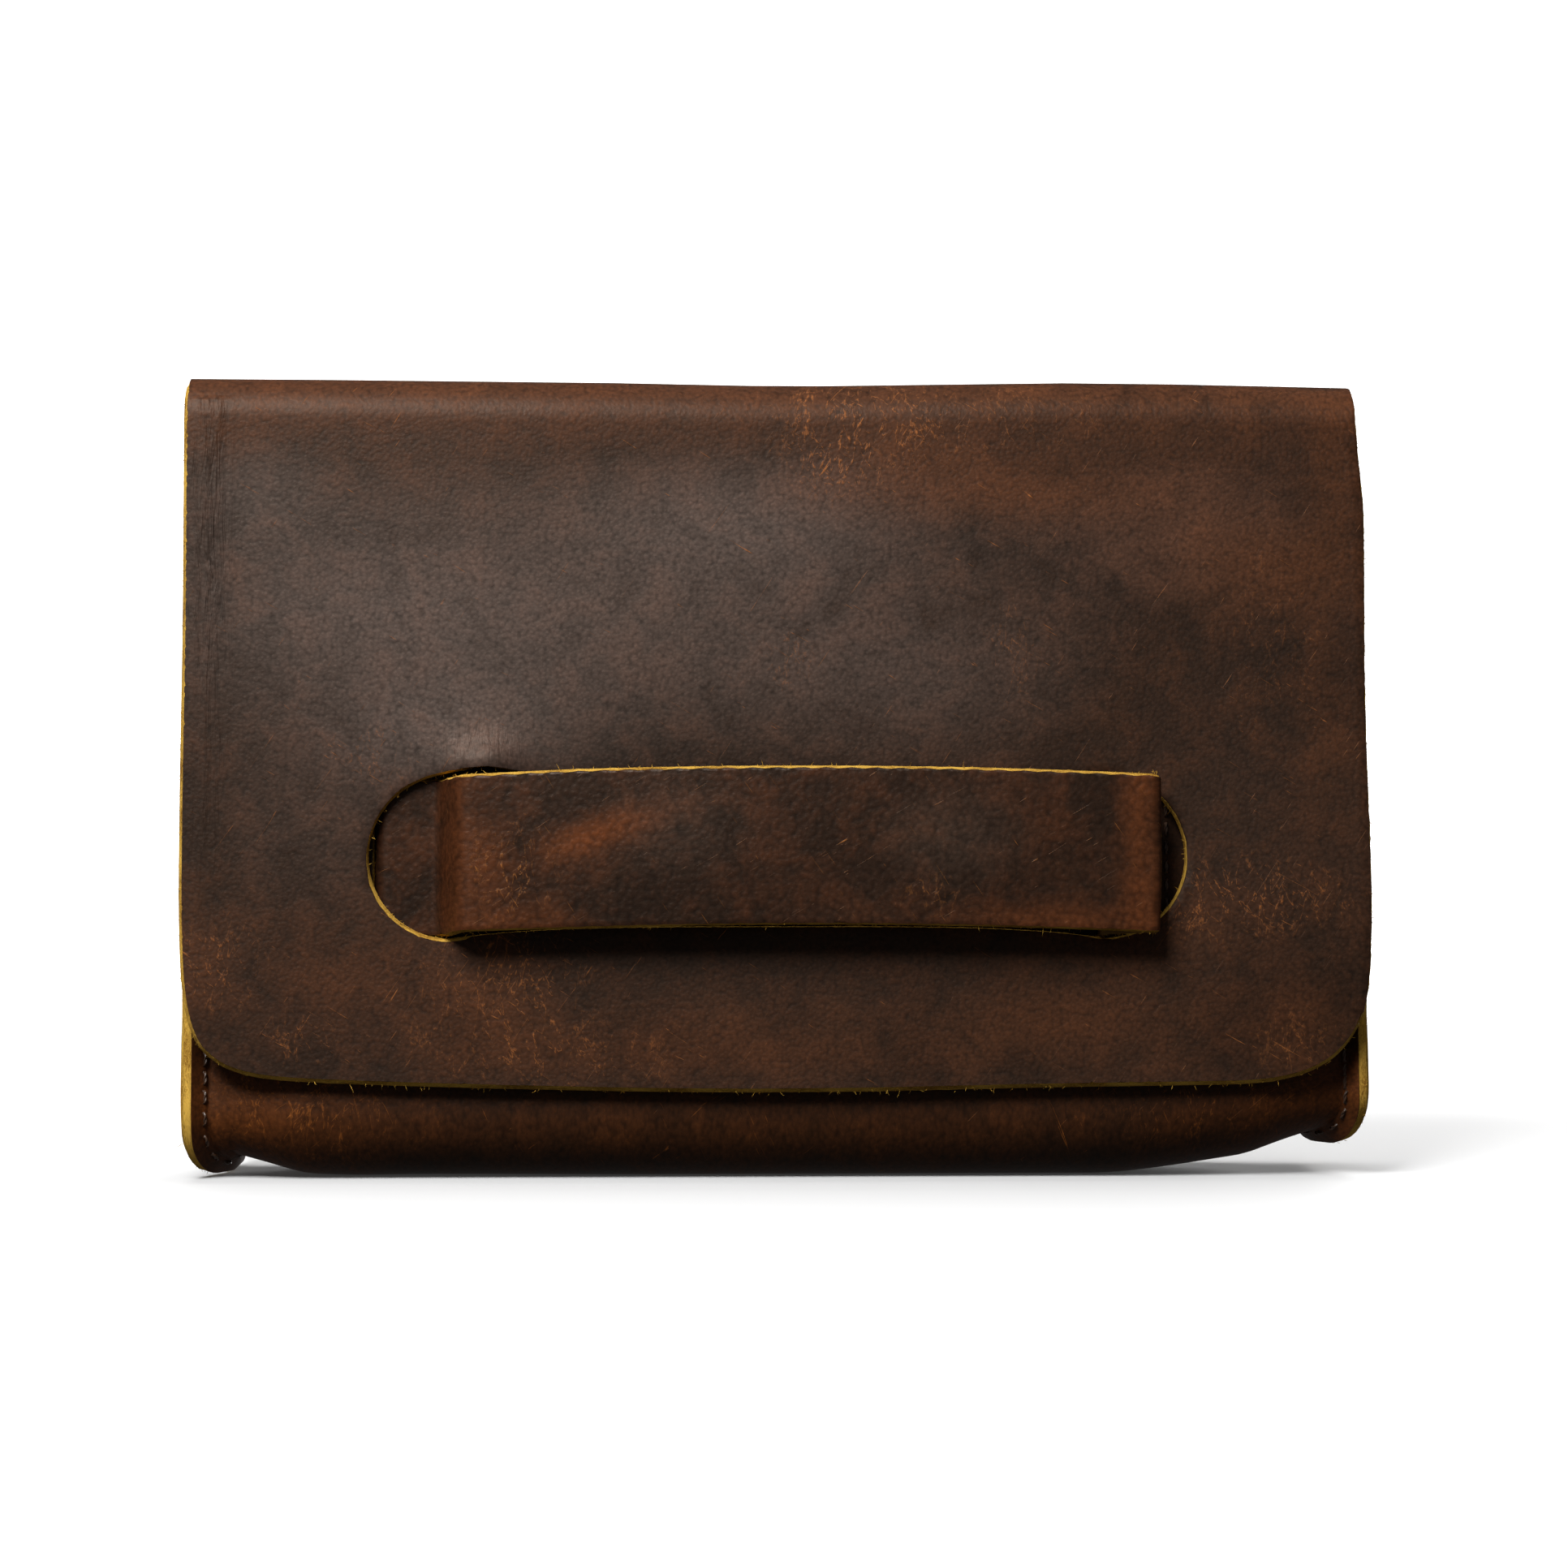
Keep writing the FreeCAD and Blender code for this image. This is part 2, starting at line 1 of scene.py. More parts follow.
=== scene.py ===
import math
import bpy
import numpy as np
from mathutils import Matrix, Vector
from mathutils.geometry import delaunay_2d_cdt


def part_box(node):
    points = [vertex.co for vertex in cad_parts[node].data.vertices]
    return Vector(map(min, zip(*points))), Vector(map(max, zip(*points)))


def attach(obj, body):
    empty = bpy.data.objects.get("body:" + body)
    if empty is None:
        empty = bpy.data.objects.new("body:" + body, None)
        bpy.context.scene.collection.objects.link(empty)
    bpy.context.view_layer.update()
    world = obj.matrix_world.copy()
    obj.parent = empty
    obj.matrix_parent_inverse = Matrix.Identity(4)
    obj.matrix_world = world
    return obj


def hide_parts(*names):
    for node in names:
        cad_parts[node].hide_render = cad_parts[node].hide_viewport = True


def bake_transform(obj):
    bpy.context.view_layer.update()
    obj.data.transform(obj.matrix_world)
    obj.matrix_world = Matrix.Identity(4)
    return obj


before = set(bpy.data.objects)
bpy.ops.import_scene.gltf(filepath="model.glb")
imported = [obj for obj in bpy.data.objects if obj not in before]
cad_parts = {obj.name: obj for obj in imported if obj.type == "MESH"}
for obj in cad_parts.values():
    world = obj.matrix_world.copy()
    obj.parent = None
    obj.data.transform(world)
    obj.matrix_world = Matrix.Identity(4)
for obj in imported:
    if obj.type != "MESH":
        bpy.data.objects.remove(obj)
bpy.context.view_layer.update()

# %% [markdown]
# # A leather brush case, piece by piece
# The case is folded from oiled, waxed "pull-up" leather: one panel that is back, bottom and front, two
# end walls, a full flap with a long slot, and a hand strap that comes through the slot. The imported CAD
# model is the fixed frame. Its plain solids are hidden one by one, as each leather piece is made in their
# place. Lengths are worked in millimetres, and turned to metres only when a mesh is made.

MM = 0.001
UP = 2  # the number of the z axis


def node_box(name):
    """Lowest and highest corner of a CAD node, in millimetres."""
    low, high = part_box(name)
    return np.array(low) / MM, np.array(high) / MM


for name in sorted(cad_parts):
    low, high = node_box(name)
    print(f"{name:18s} {np.round(low, 1)} {np.round(high, 1)}")

# %% [markdown]
# ## Lines seen from the end
# Seen from its end, each piece of leather is a bent line. A line with rounded corners describes it: the
# case runs down the back, under the bottom and up the leaning front, and the flap runs up, over and down.
# "Lift" is the height above such a line, towards the outside of the case.

# %% Rounded lines
def rounded_line(corners, radii, step=0.25):
    """Points, evenly close, along straight runs joined by arcs."""
    corners = [np.array(corner, float) for corner in corners]
    points = [corners[0]]
    for before, corner, after, radius in zip(corners, corners[1:], corners[2:], radii):
        inward = (corner - before) / np.linalg.norm(corner - before)
        outward = (after - corner) / np.linalg.norm(after - corner)
        turn = math.acos(float(np.clip(inward @ outward, -1, 1)))
        reach = radius * math.tan(turn / 2)
        side = np.sign(inward[0] * outward[1] - inward[1] * outward[0])
        centre = corner - inward * reach + side * radius * np.array([-inward[1], inward[0]])
        spoke = corner - inward * reach - centre
        for angle in np.linspace(0, side * turn, max(4, int(turn * radius / step) + 2)):
            c, s = math.cos(angle), math.sin(angle)
            points.append(centre + np.array([c * spoke[0] - s * spoke[1], s * spoke[0] + c * spoke[1]]))
    points.append(corners[-1])
    return np.array(points)


def distances(line):
    return np.concatenate([[0], np.cumsum(np.linalg.norm(np.diff(line, axis=0), axis=1))])


def walk(line, far):
    """The point and the direction at each distance along a line."""
    run = distances(line)
    at = np.clip(far, 0, run[-1])
    point = np.stack([np.interp(at, run, line[:, k]) for k in (0, 1)], -1)
    ahead = np.stack([np.interp(np.clip(at + 0.2, 0, run[-1]), run, line[:, k]) for k in (0, 1)], -1)
    behind = np.stack([np.interp(np.clip(at - 0.2, 0, run[-1]), run, line[:, k]) for k in (0, 1)], -1)
    way = ahead - behind
    return point, way / np.linalg.norm(way, axis=-1, keepdims=True)


def smooth_step(value, start, finish):
    share = np.clip((value - start) / (finish - start), 0, 1)
    return share * share * (3 - 2 * share)


def hump(value, centre, width):
    return np.exp(-((value - centre) / width) ** 2)


# %% The lines of this case
LEATHER = 1.7
TILT = math.radians(5)
panel_high = node_box("main_panel")[1]
roof_high = node_box("flap_roof")[1]
flap_high = node_box("flap_front")[1]
PANEL_TOP = panel_high[UP]
TIP = flap_high[0]
BOTTOM_LIFT = 5.445
BELLY_LIFT = BOTTOM_LIFT - LEATHER / 2
BACK_LINE = panel_high[1] - BOTTOM_LIFT
FRONT_TOP = (-0.27, 138.0)
FRONT_FOOT = (FRONT_TOP[0] - (FRONT_TOP[1] - BOTTOM_LIFT) * math.tan(TILT), BOTTOM_LIFT)
BOTTOM_RADIUS = 8
case_line = rounded_line(
    [(BACK_LINE, PANEL_TOP), (BACK_LINE, BOTTOM_LIFT), FRONT_FOOT, FRONT_TOP], [BOTTOM_RADIUS] * 2
)
case_run = distances(case_line)
FOLD_RADIUS = 8.15
FLAP_LIFT = 8.595
REAR_Y = BACK_LINE + BELLY_LIFT
ROOF_Z = roof_high[UP] - LEATHER / 2
FOLD_Y = FRONT_TOP[0] + (ROOF_Z - FRONT_TOP[1]) * math.tan(TILT) - FLAP_LIFT / math.cos(TILT)
FLAP_FOOT = (FOLD_Y - (ROOF_Z - 10) * math.tan(TILT), 10.0)
flap_line = rounded_line(
    [(REAR_Y, PANEL_TOP), (REAR_Y, ROOF_Z), (FOLD_Y, ROOF_Z), FLAP_FOOT], [FOLD_RADIUS] * 2
)
flap_run = distances(flap_line)
print("case line", round(case_run[-1], 1), "mm, flap line", round(flap_run[-1], 1), "mm")

# %% [markdown]
# ## Colours and a node helper
# Colours are written as the sRGB hex values that an eye would pick, and one function turns them to the
# linear values that the renderer works in. Materials are built from nodes in code, so one small function
# adds a node, sets it up and links its inputs.

# %% Colour and node helpers
def linear(code):
    """sRGB hex to a linear RGBA colour."""
    parts = [int(code[k:k + 2], 16) / 255 for k in (1, 3, 5)]
    return tuple(c / 12.92 if c <= 0.04045 else ((c + 0.055) / 1.055) ** 2.4 for c in parts) + (1.0,)


def add(tree, kind, inputs=None, **settings):
    """Add a node, set its settings, and fill or link its inputs."""
    made = tree.nodes.new(kind)
    for key, setting in settings.items():
        setattr(made, key, setting)
    for key, given in (inputs or {}).items():
        if isinstance(given, bpy.types.NodeSocket):
            tree.links.new(given, made.inputs[key])
        else:
            made.inputs[key].default_value = given
    return made


def per_metre(millimetres):
    """A texture's scale, from the real size of its pattern."""
    return 1000 / millimetres


def new_material(name):
    material = bpy.data.materials.new(name)
    material.use_nodes = True
    material.node_tree.nodes.clear()
    return material, material.node_tree


# %% [markdown]
# ## Pull-up leather
# The case is vegetable-retanned cowhide, stuffed hot with oil and wax: dark brown, and where it is bent,
# rubbed or scratched the wax moves away and a rusty orange shows. Each sheet carries its own flat
# coordinates, called "hide", so that pores and scratches lie in the leather and stay put when the flap
# bends. A second stored value, "finish", holds three amounts painted point by point when a sheet is made:
# rub (rusty wear), painted_sheen (a painted greyish sheen, standing for the key light's reflection in the
# wax) and crackle (fine scratched veins). Noise breaks up their edges.

# %% Waxed, oiled cowhide, grain side
def waxed_cowhide(name, deep, brown, rust, sheen_colour, vein, grain, roughness, grain_depth):
    """Grain side of pull-up leather. grain is the size of its pebbles in millimetres."""
    material, tree = new_material(name)
    hide = add(tree, "ShaderNodeAttribute", attribute_name="hide").outputs["Vector"]
    # finish carries rub, painted sheen and crackle.
    finish = add(tree, "ShaderNodeAttribute", attribute_name="finish").outputs["Vector"]
    amount = add(tree, "ShaderNodeSeparateXYZ", {"Vector": finish})
    rub, painted_sheen, crackle = amount.outputs
    # Cloudy change of tone, about 45 mm across, and mottling of about 9 mm over it.
    cloud = add(tree, "ShaderNodeTexNoise", {"Vector": hide, "Scale": per_metre(45), "Detail": 3.0,
                                             "Roughness": 0.55, "Distortion": 0.6})
    mottle = add(tree, "ShaderNodeTexNoise", {"Vector": hide, "Scale": per_metre(9), "Detail": 7.0,
                                              "Roughness": 0.68, "Distortion": 0.4})
    fleck = add(tree, "ShaderNodeTexNoise", {"Vector": hide, "Scale": per_metre(1.1), "Detail": 3.0,
                                             "Roughness": 0.7})
    tone = add(tree, "ShaderNodeMapRange", {"Value": cloud.outputs["Fac"], "From Min": 0.3, "From Max": 0.7})
    base = add(tree, "ShaderNodeMix", {"Factor": tone.outputs[0], "A": linear(deep), "B": linear(brown)},
               data_type="RGBA")
    # Painted sheen: a greyish highlight mixed into the colour, standing for the key light's reflection in the
    # wax.
    sheen_amount = add(tree, "ShaderNodeMath", {0: painted_sheen, 1: mottle.outputs["Fac"]}, operation="MULTIPLY")
    sheen_amount = add(tree, "ShaderNodeMapRange", {"Value": sheen_amount.outputs[0], "From Min": 0.08, "From Max": 0.62})
    base = add(tree, "ShaderNodeMix", {"Factor": sheen_amount.outputs[0], "A": base.outputs["Result"],
                                       "B": linear(sheen_colour)}, data_type="RGBA")
    # Rust where the wax has moved: the stored rub, broken up by the mottling, and a little of it everywhere.
    broken = add(tree, "ShaderNodeMath", {0: mottle.outputs["Fac"], 1: 0.5}, operation="SUBTRACT")
    broken = add(tree, "ShaderNodeMath", {0: broken.outputs[0], 1: 1.1, 2: rub}, operation="MULTIPLY_ADD")
    worn = add(tree, "ShaderNodeMapRange", {"Value": broken.outputs[0], "From Min": 0.05, "From Max": 1.0})
    base = add(tree, "ShaderNodeMix", {"Factor": worn.outputs[0], "A": base.outputs["Result"],
                                       "B": linear(rust)}, data_type="RGBA")
    # Hairline scratches: noise turned, then drawn out along one direction, kept where it peaks.
    scratches = []
    for turn, length, width in ((math.radians(56), 15, 0.5), (math.radians(-31), 9, 0.45)):
        turned = add(tree, "ShaderNodeMapping", {"Vector": hide, "Rotation": (0, 0, turn)})
        drawn = add(tree, "ShaderNodeVectorMath", {0: turned.outputs[0],
                                                   1: (per_metre(length), per_metre(width), 1.0)},
                    operation="MULTIPLY")
        lines = add(tree, "ShaderNodeTexNoise", {"Vector": drawn.outputs[0], "Scale": 1.0, "Detail": 1.0,
                                                 "Roughness": 0.5, "Distortion": 1.8})
        gain = add(tree, "ShaderNodeMath", {0: crackle, 1: 0.05, 2: lines.outputs["Fac"]},
                   operation="MULTIPLY_ADD")
        kept = add(tree, "ShaderNodeMapRange", {"Value": gain.outputs[0], "From Min": 0.775, "From Max": 0.83})
        scratches.append(kept.outputs[0])
    # Veins: the thin lines where a noise crosses its middle value. Both sets run nearly upright, one longer
    # than the other, and both show only in patches where crackle is stored.
    patchy = add(tree, "ShaderNodeMath", {0: crackle, 1: mottle.outputs["Fac"]}, operation="MULTIPLY")
    patchy = add(tree, "ShaderNodeMapRange", {"Value": patchy.outputs[0], "From Min": 0.16, "From Max": 0.5})
    veins = []
    for turn, length, width, thin in ((math.radians(78), 20, 4.5, 0.010), (math.radians(118), 12, 4, 0.010)):
        turned = add(tree, "ShaderNodeMapping", {"Vector": hide, "Rotation": (0, 0, turn)})
        drawn = add(tree, "ShaderNodeVectorMath", {0: turned.outputs[0],
                                                   1: (per_metre(length), per_metre(width), 1.0)},
                    operation="MULTIPLY")
        wander = add(tree, "ShaderNodeTexNoise", {"Vector": drawn.outputs[0], "Scale": 1.0, "Detail": 4.0,
                                                  "Roughness": 0.55, "Distortion": 0.3})
        off = add(tree, "ShaderNodeMath", {0: wander.outputs["Fac"], 1: 0.5}, operation="SUBTRACT")
        off = add(tree, "ShaderNodeMath", {0: off.outputs[0]}, operation="ABSOLUTE")
        line = add(tree, "ShaderNodeMapRange", {"Value": off.outputs[0], "From Min": 0.0, "From Max": thin,
                                                "To Min": 1.0, "To Max": 0.0})
        broken = add(tree, "ShaderNodeMapRange", {"Value": fleck.outputs["Fac"], "From Min": 0.42,
                                                  "From Max": 0.56})
        line = add(tree, "ShaderNodeMath", {0: line.outputs[0], 1: broken.outputs[0]}, operation="MULTIPLY")
        line = add(tree, "ShaderNodeMath", {0: line.outputs[0], 1: patchy.outputs[0]}, operation="MULTIPLY")
        veins.append(line.outputs[0])
    lines = scratches[0]
    for other in scratches[1:] + veins:
        lines = add(tree, "ShaderNodeMath", {0: lines, 1: other}, operation="MAXIMUM").outputs[0]
    drawn_lines = add(tree, "ShaderNodeMath", {0: lines, 1: 0.8}, operation="MULTIPLY")
    base = add(tree, "ShaderNodeMix", {"Factor": drawn_lines.outputs[0], "A": base.outputs["Result"],
                                       "B": linear(vein)}, data_type="RGBA")
    # Pebbled grain with dark pores between the pebbles.
    pebbles = add(tree, "ShaderNodeTexVoronoi", {"Vector": hide, "Scale": per_metre(grain), "Randomness": 1.0},
                  feature="SMOOTH_F1")
    pores = add(tree, "ShaderNodeMapRange", {"Value": pebbles.outputs["Distance"], "From Min": 0.35,
                                             "From Max": 0.75, "To Min": 1.0, "To Max": 0.55})
    fleck_tone = add(tree, "ShaderNodeMapRange", {"Value": fleck.outputs["Fac"], "From Min": 0.3,
                                                  "From Max": 0.7, "To Min": 0.72, "To Max": 1.25})
    speckle = add(tree, "ShaderNodeMath", {0: pores.outputs[0], 1: fleck_tone.outputs[0]}, operation="MULTIPLY")
    colour = add(tree, "ShaderNodeVectorMath", {0: base.outputs["Result"], "Scale": speckle.outputs[0]},
                 operation="SCALE")
    rough = add(tree, "ShaderNodeMath", {0: mottle.outputs["Fac"], 1: 0.22, 2: roughness - 0.11},
                operation="MULTIPLY_ADD")
    rough = add(tree, "ShaderNodeMath", {0: lines, 1: 0.12, 2: rough.outputs[0]}, operation="MULTIPLY_ADD")
    # Upright creases where the seam below presses through.
    pressed = add(tree, "ShaderNodeAttribute", attribute_name="crease").outputs["Fac"]
    narrow = add(tree, "ShaderNodeVectorMath", {0: hide, 1: (per_metre(1.6), per_metre(14), 1.0)},
                 operation="MULTIPLY")
    folds = add(tree, "ShaderNodeTexNoise", {"Vector": narrow.outputs[0], "Scale": 1.0, "Detail": 3.0,
                                             "Roughness": 0.6, "Distortion": 0.6})
    folds = add(tree, "ShaderNodeMath", {0: folds.outputs["Fac"], 1: pressed}, operation="MULTIPLY")
    pressed_in = add(tree, "ShaderNodeBump", {"Height": folds.outputs[0], "Strength": 0.9, "Distance": 0.0011})
    creases = add(tree, "ShaderNodeBump", {"Height": mottle.outputs["Fac"], "Strength": 0.3,
                                           "Distance": 0.0004, "Normal": pressed_in.outputs[0]})
    grainy = add(tree, "ShaderNodeBump", {"Height": pebbles.outputs["Distance"], "Strength": 0.55,
                                          "Distance": -grain_depth * MM, "Normal": creases.outputs[0]})
    fine = add(tree, "ShaderNodeBump", {"Height": fleck.outputs["Fac"], "Strength": 0.4, "Distance": 0.0001,
                                        "Normal": grainy.outputs[0]})
    cut = add(tree, "ShaderNodeBump", {"Height": lines, "Strength": 0.5, "Distance": 0.00006,
                                       "Normal": fine.outputs[0]})
    shader = add(tree, "ShaderNodeBsdfPrincipled", {
        "Base Color": colour.outputs[0], "Roughness": rough.outputs[0], "Normal": cut.outputs[0],
        "IOR": 1.46, "Specular IOR Level": 0.32, "Specular Tint": linear("#f0dccb")})
    add(tree, "ShaderNodeOutputMaterial", {"Surface": shader.outputs[0]})
    return material


# The fifth colour of each leather is its painted sheen colour, a greyish highlight standing for the key light's
# reflection in the wax.
flap_hide = waxed_cowhide("waxed_cowhide_flap", "#22150d", "#322016", "#5c3218", "#564a44", "#96592a",
                          0.75, 0.5, 0.10)
# The panel is the flap's leather painted darker and a little redder: the darkening is partly painted shade, for
# the front strip that lies in the flap's shadow.
panel_hide_painted_darker = waxed_cowhide("waxed_cowhide_panel_painted_darker", "#1e1109", "#2f1a0c", "#5c3012", "#3b2b21", "#96551f",
                           0.75, 0.52, 0.10)
strap_hide = waxed_cowhide("waxed_cowhide_strap", "#1f130c", "#2d1d14", "#643417", "#473a31", "#9a5f2a",
                           1.05, 0.4, 0.16)
sleeve_hide = waxed_cowhide("waxed_cowhide_sleeve", "#3a2415", "#4a2f1b", "#7a4a22", "#55412f", "#a5702f",
                            0.6, 0.6, 0.06)


# %% [markdown]
# ## Cut edges and the flesh side
# The edges are cut and left raw. Only the outer skin is dyed dark, so the cut shows the mustard core,
# with loose fibres. The flesh side, inside the case, is a suede of the same mustard, duller and rougher.
# Both are matt, so they get noise for colour, a strong small bump and only a weak specular.

# %% Raw mustard leather: cut edge and suede
def raw_leather(name, shade, light, fibre, depth, evenness):
    """Undyed core of the hide. fibre is the size of its nap in millimetres."""
    material, tree = new_material(name)
    hide = add(tree, "ShaderNodeAttribute", attribute_name="hide").outputs["Vector"]
    broad = add(tree, "ShaderNodeTexNoise", {"Vector": hide, "Scale": per_metre(7), "Detail": 4.0})
    nap = add(tree, "ShaderNodeTexNoise", {"Vector": hide, "Scale": per_metre(fibre), "Detail": 4.0,
                                           "Roughness": 0.75, "Distortion": 1.2})
    mixed = add(tree, "ShaderNodeMath", {0: broad.outputs["Fac"], 1: 0.8, 2: nap.outputs["Fac"]},
                operation="MULTIPLY_ADD")
    tone = add(tree, "ShaderNodeMapRange", {"Value": mixed.outputs[0], "From Min": 0.85 - evenness,
                                            "From Max": 0.85 + evenness})
    colour = add(tree, "ShaderNodeMix", {"Factor": tone.outputs[0], "A": linear(shade), "B": linear(light)},
                 data_type="RGBA")
    napped = add(tree, "ShaderNodeBump", {"Height": nap.outputs["Fac"], "Strength": 0.8,
                                          "Distance": depth * MM})
    shader = add(tree, "ShaderNodeBsdfPrincipled", {
        "Base Color": colour.outputs["Result"], "Roughness": 0.88, "Normal": napped.outputs[0],
        "Specular IOR Level": 0.12})
    add(tree, "ShaderNodeOutputMaterial", {"Surface": shader.outputs[0]})
    return material


cut_edge = raw_leather("raw_cut_edge", "#7c5012", "#dcae4a", 0.8, 0.3, 0.17)
suede = raw_leather("suede_flesh_side", "#5e4220", "#8b6938", 0.5, 0.2, 0.45)

# %% [markdown]
# ## Waxed thread
# The seams are sewn with a waxed polyester thread of two twisted plies, dark brown, with small bright
# glints where the wax catches the light. The twist is real geometry, so the material only needs fine
# filaments and a low roughness.

# %% Waxed polyester thread
def waxed_thread(name, shade, light):
    material, tree = new_material(name)
    hide = add(tree, "ShaderNodeAttribute", attribute_name="hide").outputs["Vector"]
    filament = add(tree, "ShaderNodeTexNoise", {"Vector": hide, "Scale": per_metre(0.25), "Detail": 2.0})
    colour = add(tree, "ShaderNodeMix", {"Factor": filament.outputs["Fac"], "A": linear(shade),
                                         "B": linear(light)}, data_type="RGBA")
    bumpy = add(tree, "ShaderNodeBump", {"Height": filament.outputs["Fac"], "Strength": 0.5,
                                         "Distance": 0.00005})
    shader = add(tree, "ShaderNodeBsdfPrincipled", {
        "Base Color": colour.outputs["Result"], "Roughness": 0.36, "Normal": bumpy.outputs[0],
        "Specular IOR Level": 0.6})
    add(tree, "ShaderNodeOutputMaterial", {"Surface": shader.outputs[0]})
    return material


thread = waxed_thread("waxed_polyester_thread", "#2a1a10", "#5c4230")
print("materials:", ", ".join(sorted(m.name for m in bpy.data.materials)))

# %% [markdown]
# ## Making a sheet of leather
# Every leather piece is the same thing: a flat outline, bent in space, with a thickness. A function
# called "place" says where each flat point goes. The outline is filled with a net of points and
# triangles, and the net is laid twice, half a thickness out (the grain side) and half a thickness in (the
# flesh side). The grain side is trimmed a little smaller, as a knife leaves it, so the raw core shows as
# a pale line round the edge. A solidify modifier would be quicker, but can't bevel one side only or give
# the cut its own uneven, fibrous wall.

# %% Filling an outline
def inside(points, loop):
    """Which points lie inside a closed loop."""
    x, y = points[:, 0][:, None], points[:, 1][:, None]
    ax, ay = loop[:, 0], loop[:, 1]
    bx, by = np.roll(ax, -1), np.roll(ay, -1)
    rise = np.where(by == ay, 1e-12, by - ay)
    crossed = ((ay > y) != (by > y)) & (x < (bx - ax) * (y - ay) / rise + ax)
    return crossed.sum(1) % 2 == 1


def loop_inward(loop, solid_inside):
    """Unit directions from a closed loop into the leather."""
    ahead = np.roll(loop, -1, 0) - np.roll(loop, 1, 0)
    side = np.stack([-ahead[:, 1], ahead[:, 0]], -1)
    side /= np.linalg.norm(side, axis=1, keepdims=True)
    x, y = loop[:, 0], loop[:, 1]
    area = np.sum(x * np.roll(y, -1) - np.roll(x, -1) * y)
    return side * np.sign(area) * (1 if solid_inside else -1)


def closest(points, loop):
    gap = np.full(len(points), 1e9)
    for spot in loop:
        gap = np.minimum(gap, np.hypot(points[:, 0] - spot[0], points[:, 1] - spot[1]))
    return gap


def net(loops, across, along, margin=0.75):
    """Triangles over an outline (first loop) with holes (the others)."""
    grid = np.stack(np.meshgrid(across, along, indexing="ij"), -1).reshape(-1, 2)
    keep = inside(grid, loops[0])
    for loop in loops[1:]:
        keep &= ~inside(grid, loop)
    rings = []
    for number, loop in enumerate(loops):
        step = np.median(np.linalg.norm(np.diff(loop, axis=0), axis=1))
        keep &= closest(grid, loop) > max(step * margin, 0.9)
        rings.append(loop + loop_inward(loop, number == 0) * 0.75)
    parts = loops + rings + [grid[keep]]
    flat = np.concatenate(parts)
    edges, start = [], 0
    for loop in loops:
        count = len(loop)
        edges += [(start + k, start + (k + 1) % count) for k in range(count)]
        start += count
    out, _, faces, origin, _, _ = delaunay_2d_cdt([Vector(p) for p in flat], edges, [], 0, 1e-5)
    number = [min(group) if group else -1 for group in origin]
    tri = np.array([[number[v] for v in face] for face in faces])
    tri = tri[(tri >= 0).all(1)]
    middle = flat[tri].mean(1)
    good = inside(middle, loops[0])
    for loop in loops[1:]:
        good &= ~inside(middle, loop)
    return flat, tri[good], [len(loop) for loop in loops]


# %% Laying the net in space
def surface(place, side, flat, height):
    """Points at a height above the sheet's middle, where side says which way its grain faces."""
    u, v = flat[:, 0], flat[:, 1]
    small = 0.05
    du = place(u + small, v) - place(u - small, v)
    dv = place(u, v + small) - place(u, v - small)
    normal = np.cross(du, dv) * side
    normal /= np.maximum(np.linalg.norm(normal, axis=1, keepdims=True), 1e-9)
    return place(u, v) + normal * np.reshape(height, (-1, 1))


def fibres(points, outward, amount, rng, longest):
    """Thin tapered hairs standing out of a cut edge: corner points and faces."""
    corners, faces = [], []
    for spot in rng.choice(len(points), amount):
        way = outward[spot] + rng.normal(0, 0.6, 3)
        way /= np.linalg.norm(way)
        side = np.cross(way, rng.normal(0, 1, 3))
        side /= np.linalg.norm(side)
        other = np.cross(way, side)
        length = longest * rng.uniform(0.25, 1) ** 1.6
        curl = rng.normal(0, 0.3, 3) * length
        root = points[spot] - way * 0.2 + rng.normal(0, 0.25, 3)
        base = len(corners)
        for share, thick in ((0, 0.06), (0.55, 0.05)):
            middle = root + way * length * share + curl * share ** 2
            for k in range(3):
                angle = 2 * math.pi * k / 3
                corners.append(middle + (side * math.cos(angle) + other * math.sin(angle)) * thick)
        corners.append(root + way * length + curl)
        for k in range(3):
            m = (k + 1) % 3
            faces.append((base + k, base + m, base + 3 + m, base + 3 + k))
            faces.append((base + 3 + k, base + 3 + m, base + 6))
        faces.append((base + 2, base + 1, base))
    return corners, faces


def make_mesh(name, points, faces, kinds, materials, hide, finish, crease=None):
    """A mesh object with its stored hide coordinates, finish and creases."""
    mesh = bpy.data.meshes.new(name)
    mesh.from_pydata([tuple(p) for p in np.asarray(points) * MM], [], [tuple(map(int, f)) for f in faces])
    for material in materials:
        mesh.materials.append(material)
    mesh.polygons.foreach_set("material_index", np.array(kinds, np.int32))
    # finish holds rub, painted sheen and crackle for each point.
    for key, data in (("hide", hide), ("finish", finish)):
        layer = mesh.attributes.new(key, "FLOAT_VECTOR", "POINT")
        layer.data.foreach_set("vector", np.asarray(data, np.float32).ravel())
    pressed = mesh.attributes.new("crease", "FLOAT", "POINT")
    pressed.data.foreach_set("value", np.zeros(len(points), np.float32) if crease is None
                             else np.asarray(crease, np.float32))
    mesh.shade_smooth()
    mesh.set_sharp_from_angle(angle=math.radians(42))
    mesh.update()
    made = bpy.data.objects.new(name, mesh)
    bpy.context.scene.collection.objects.link(made)
    return made


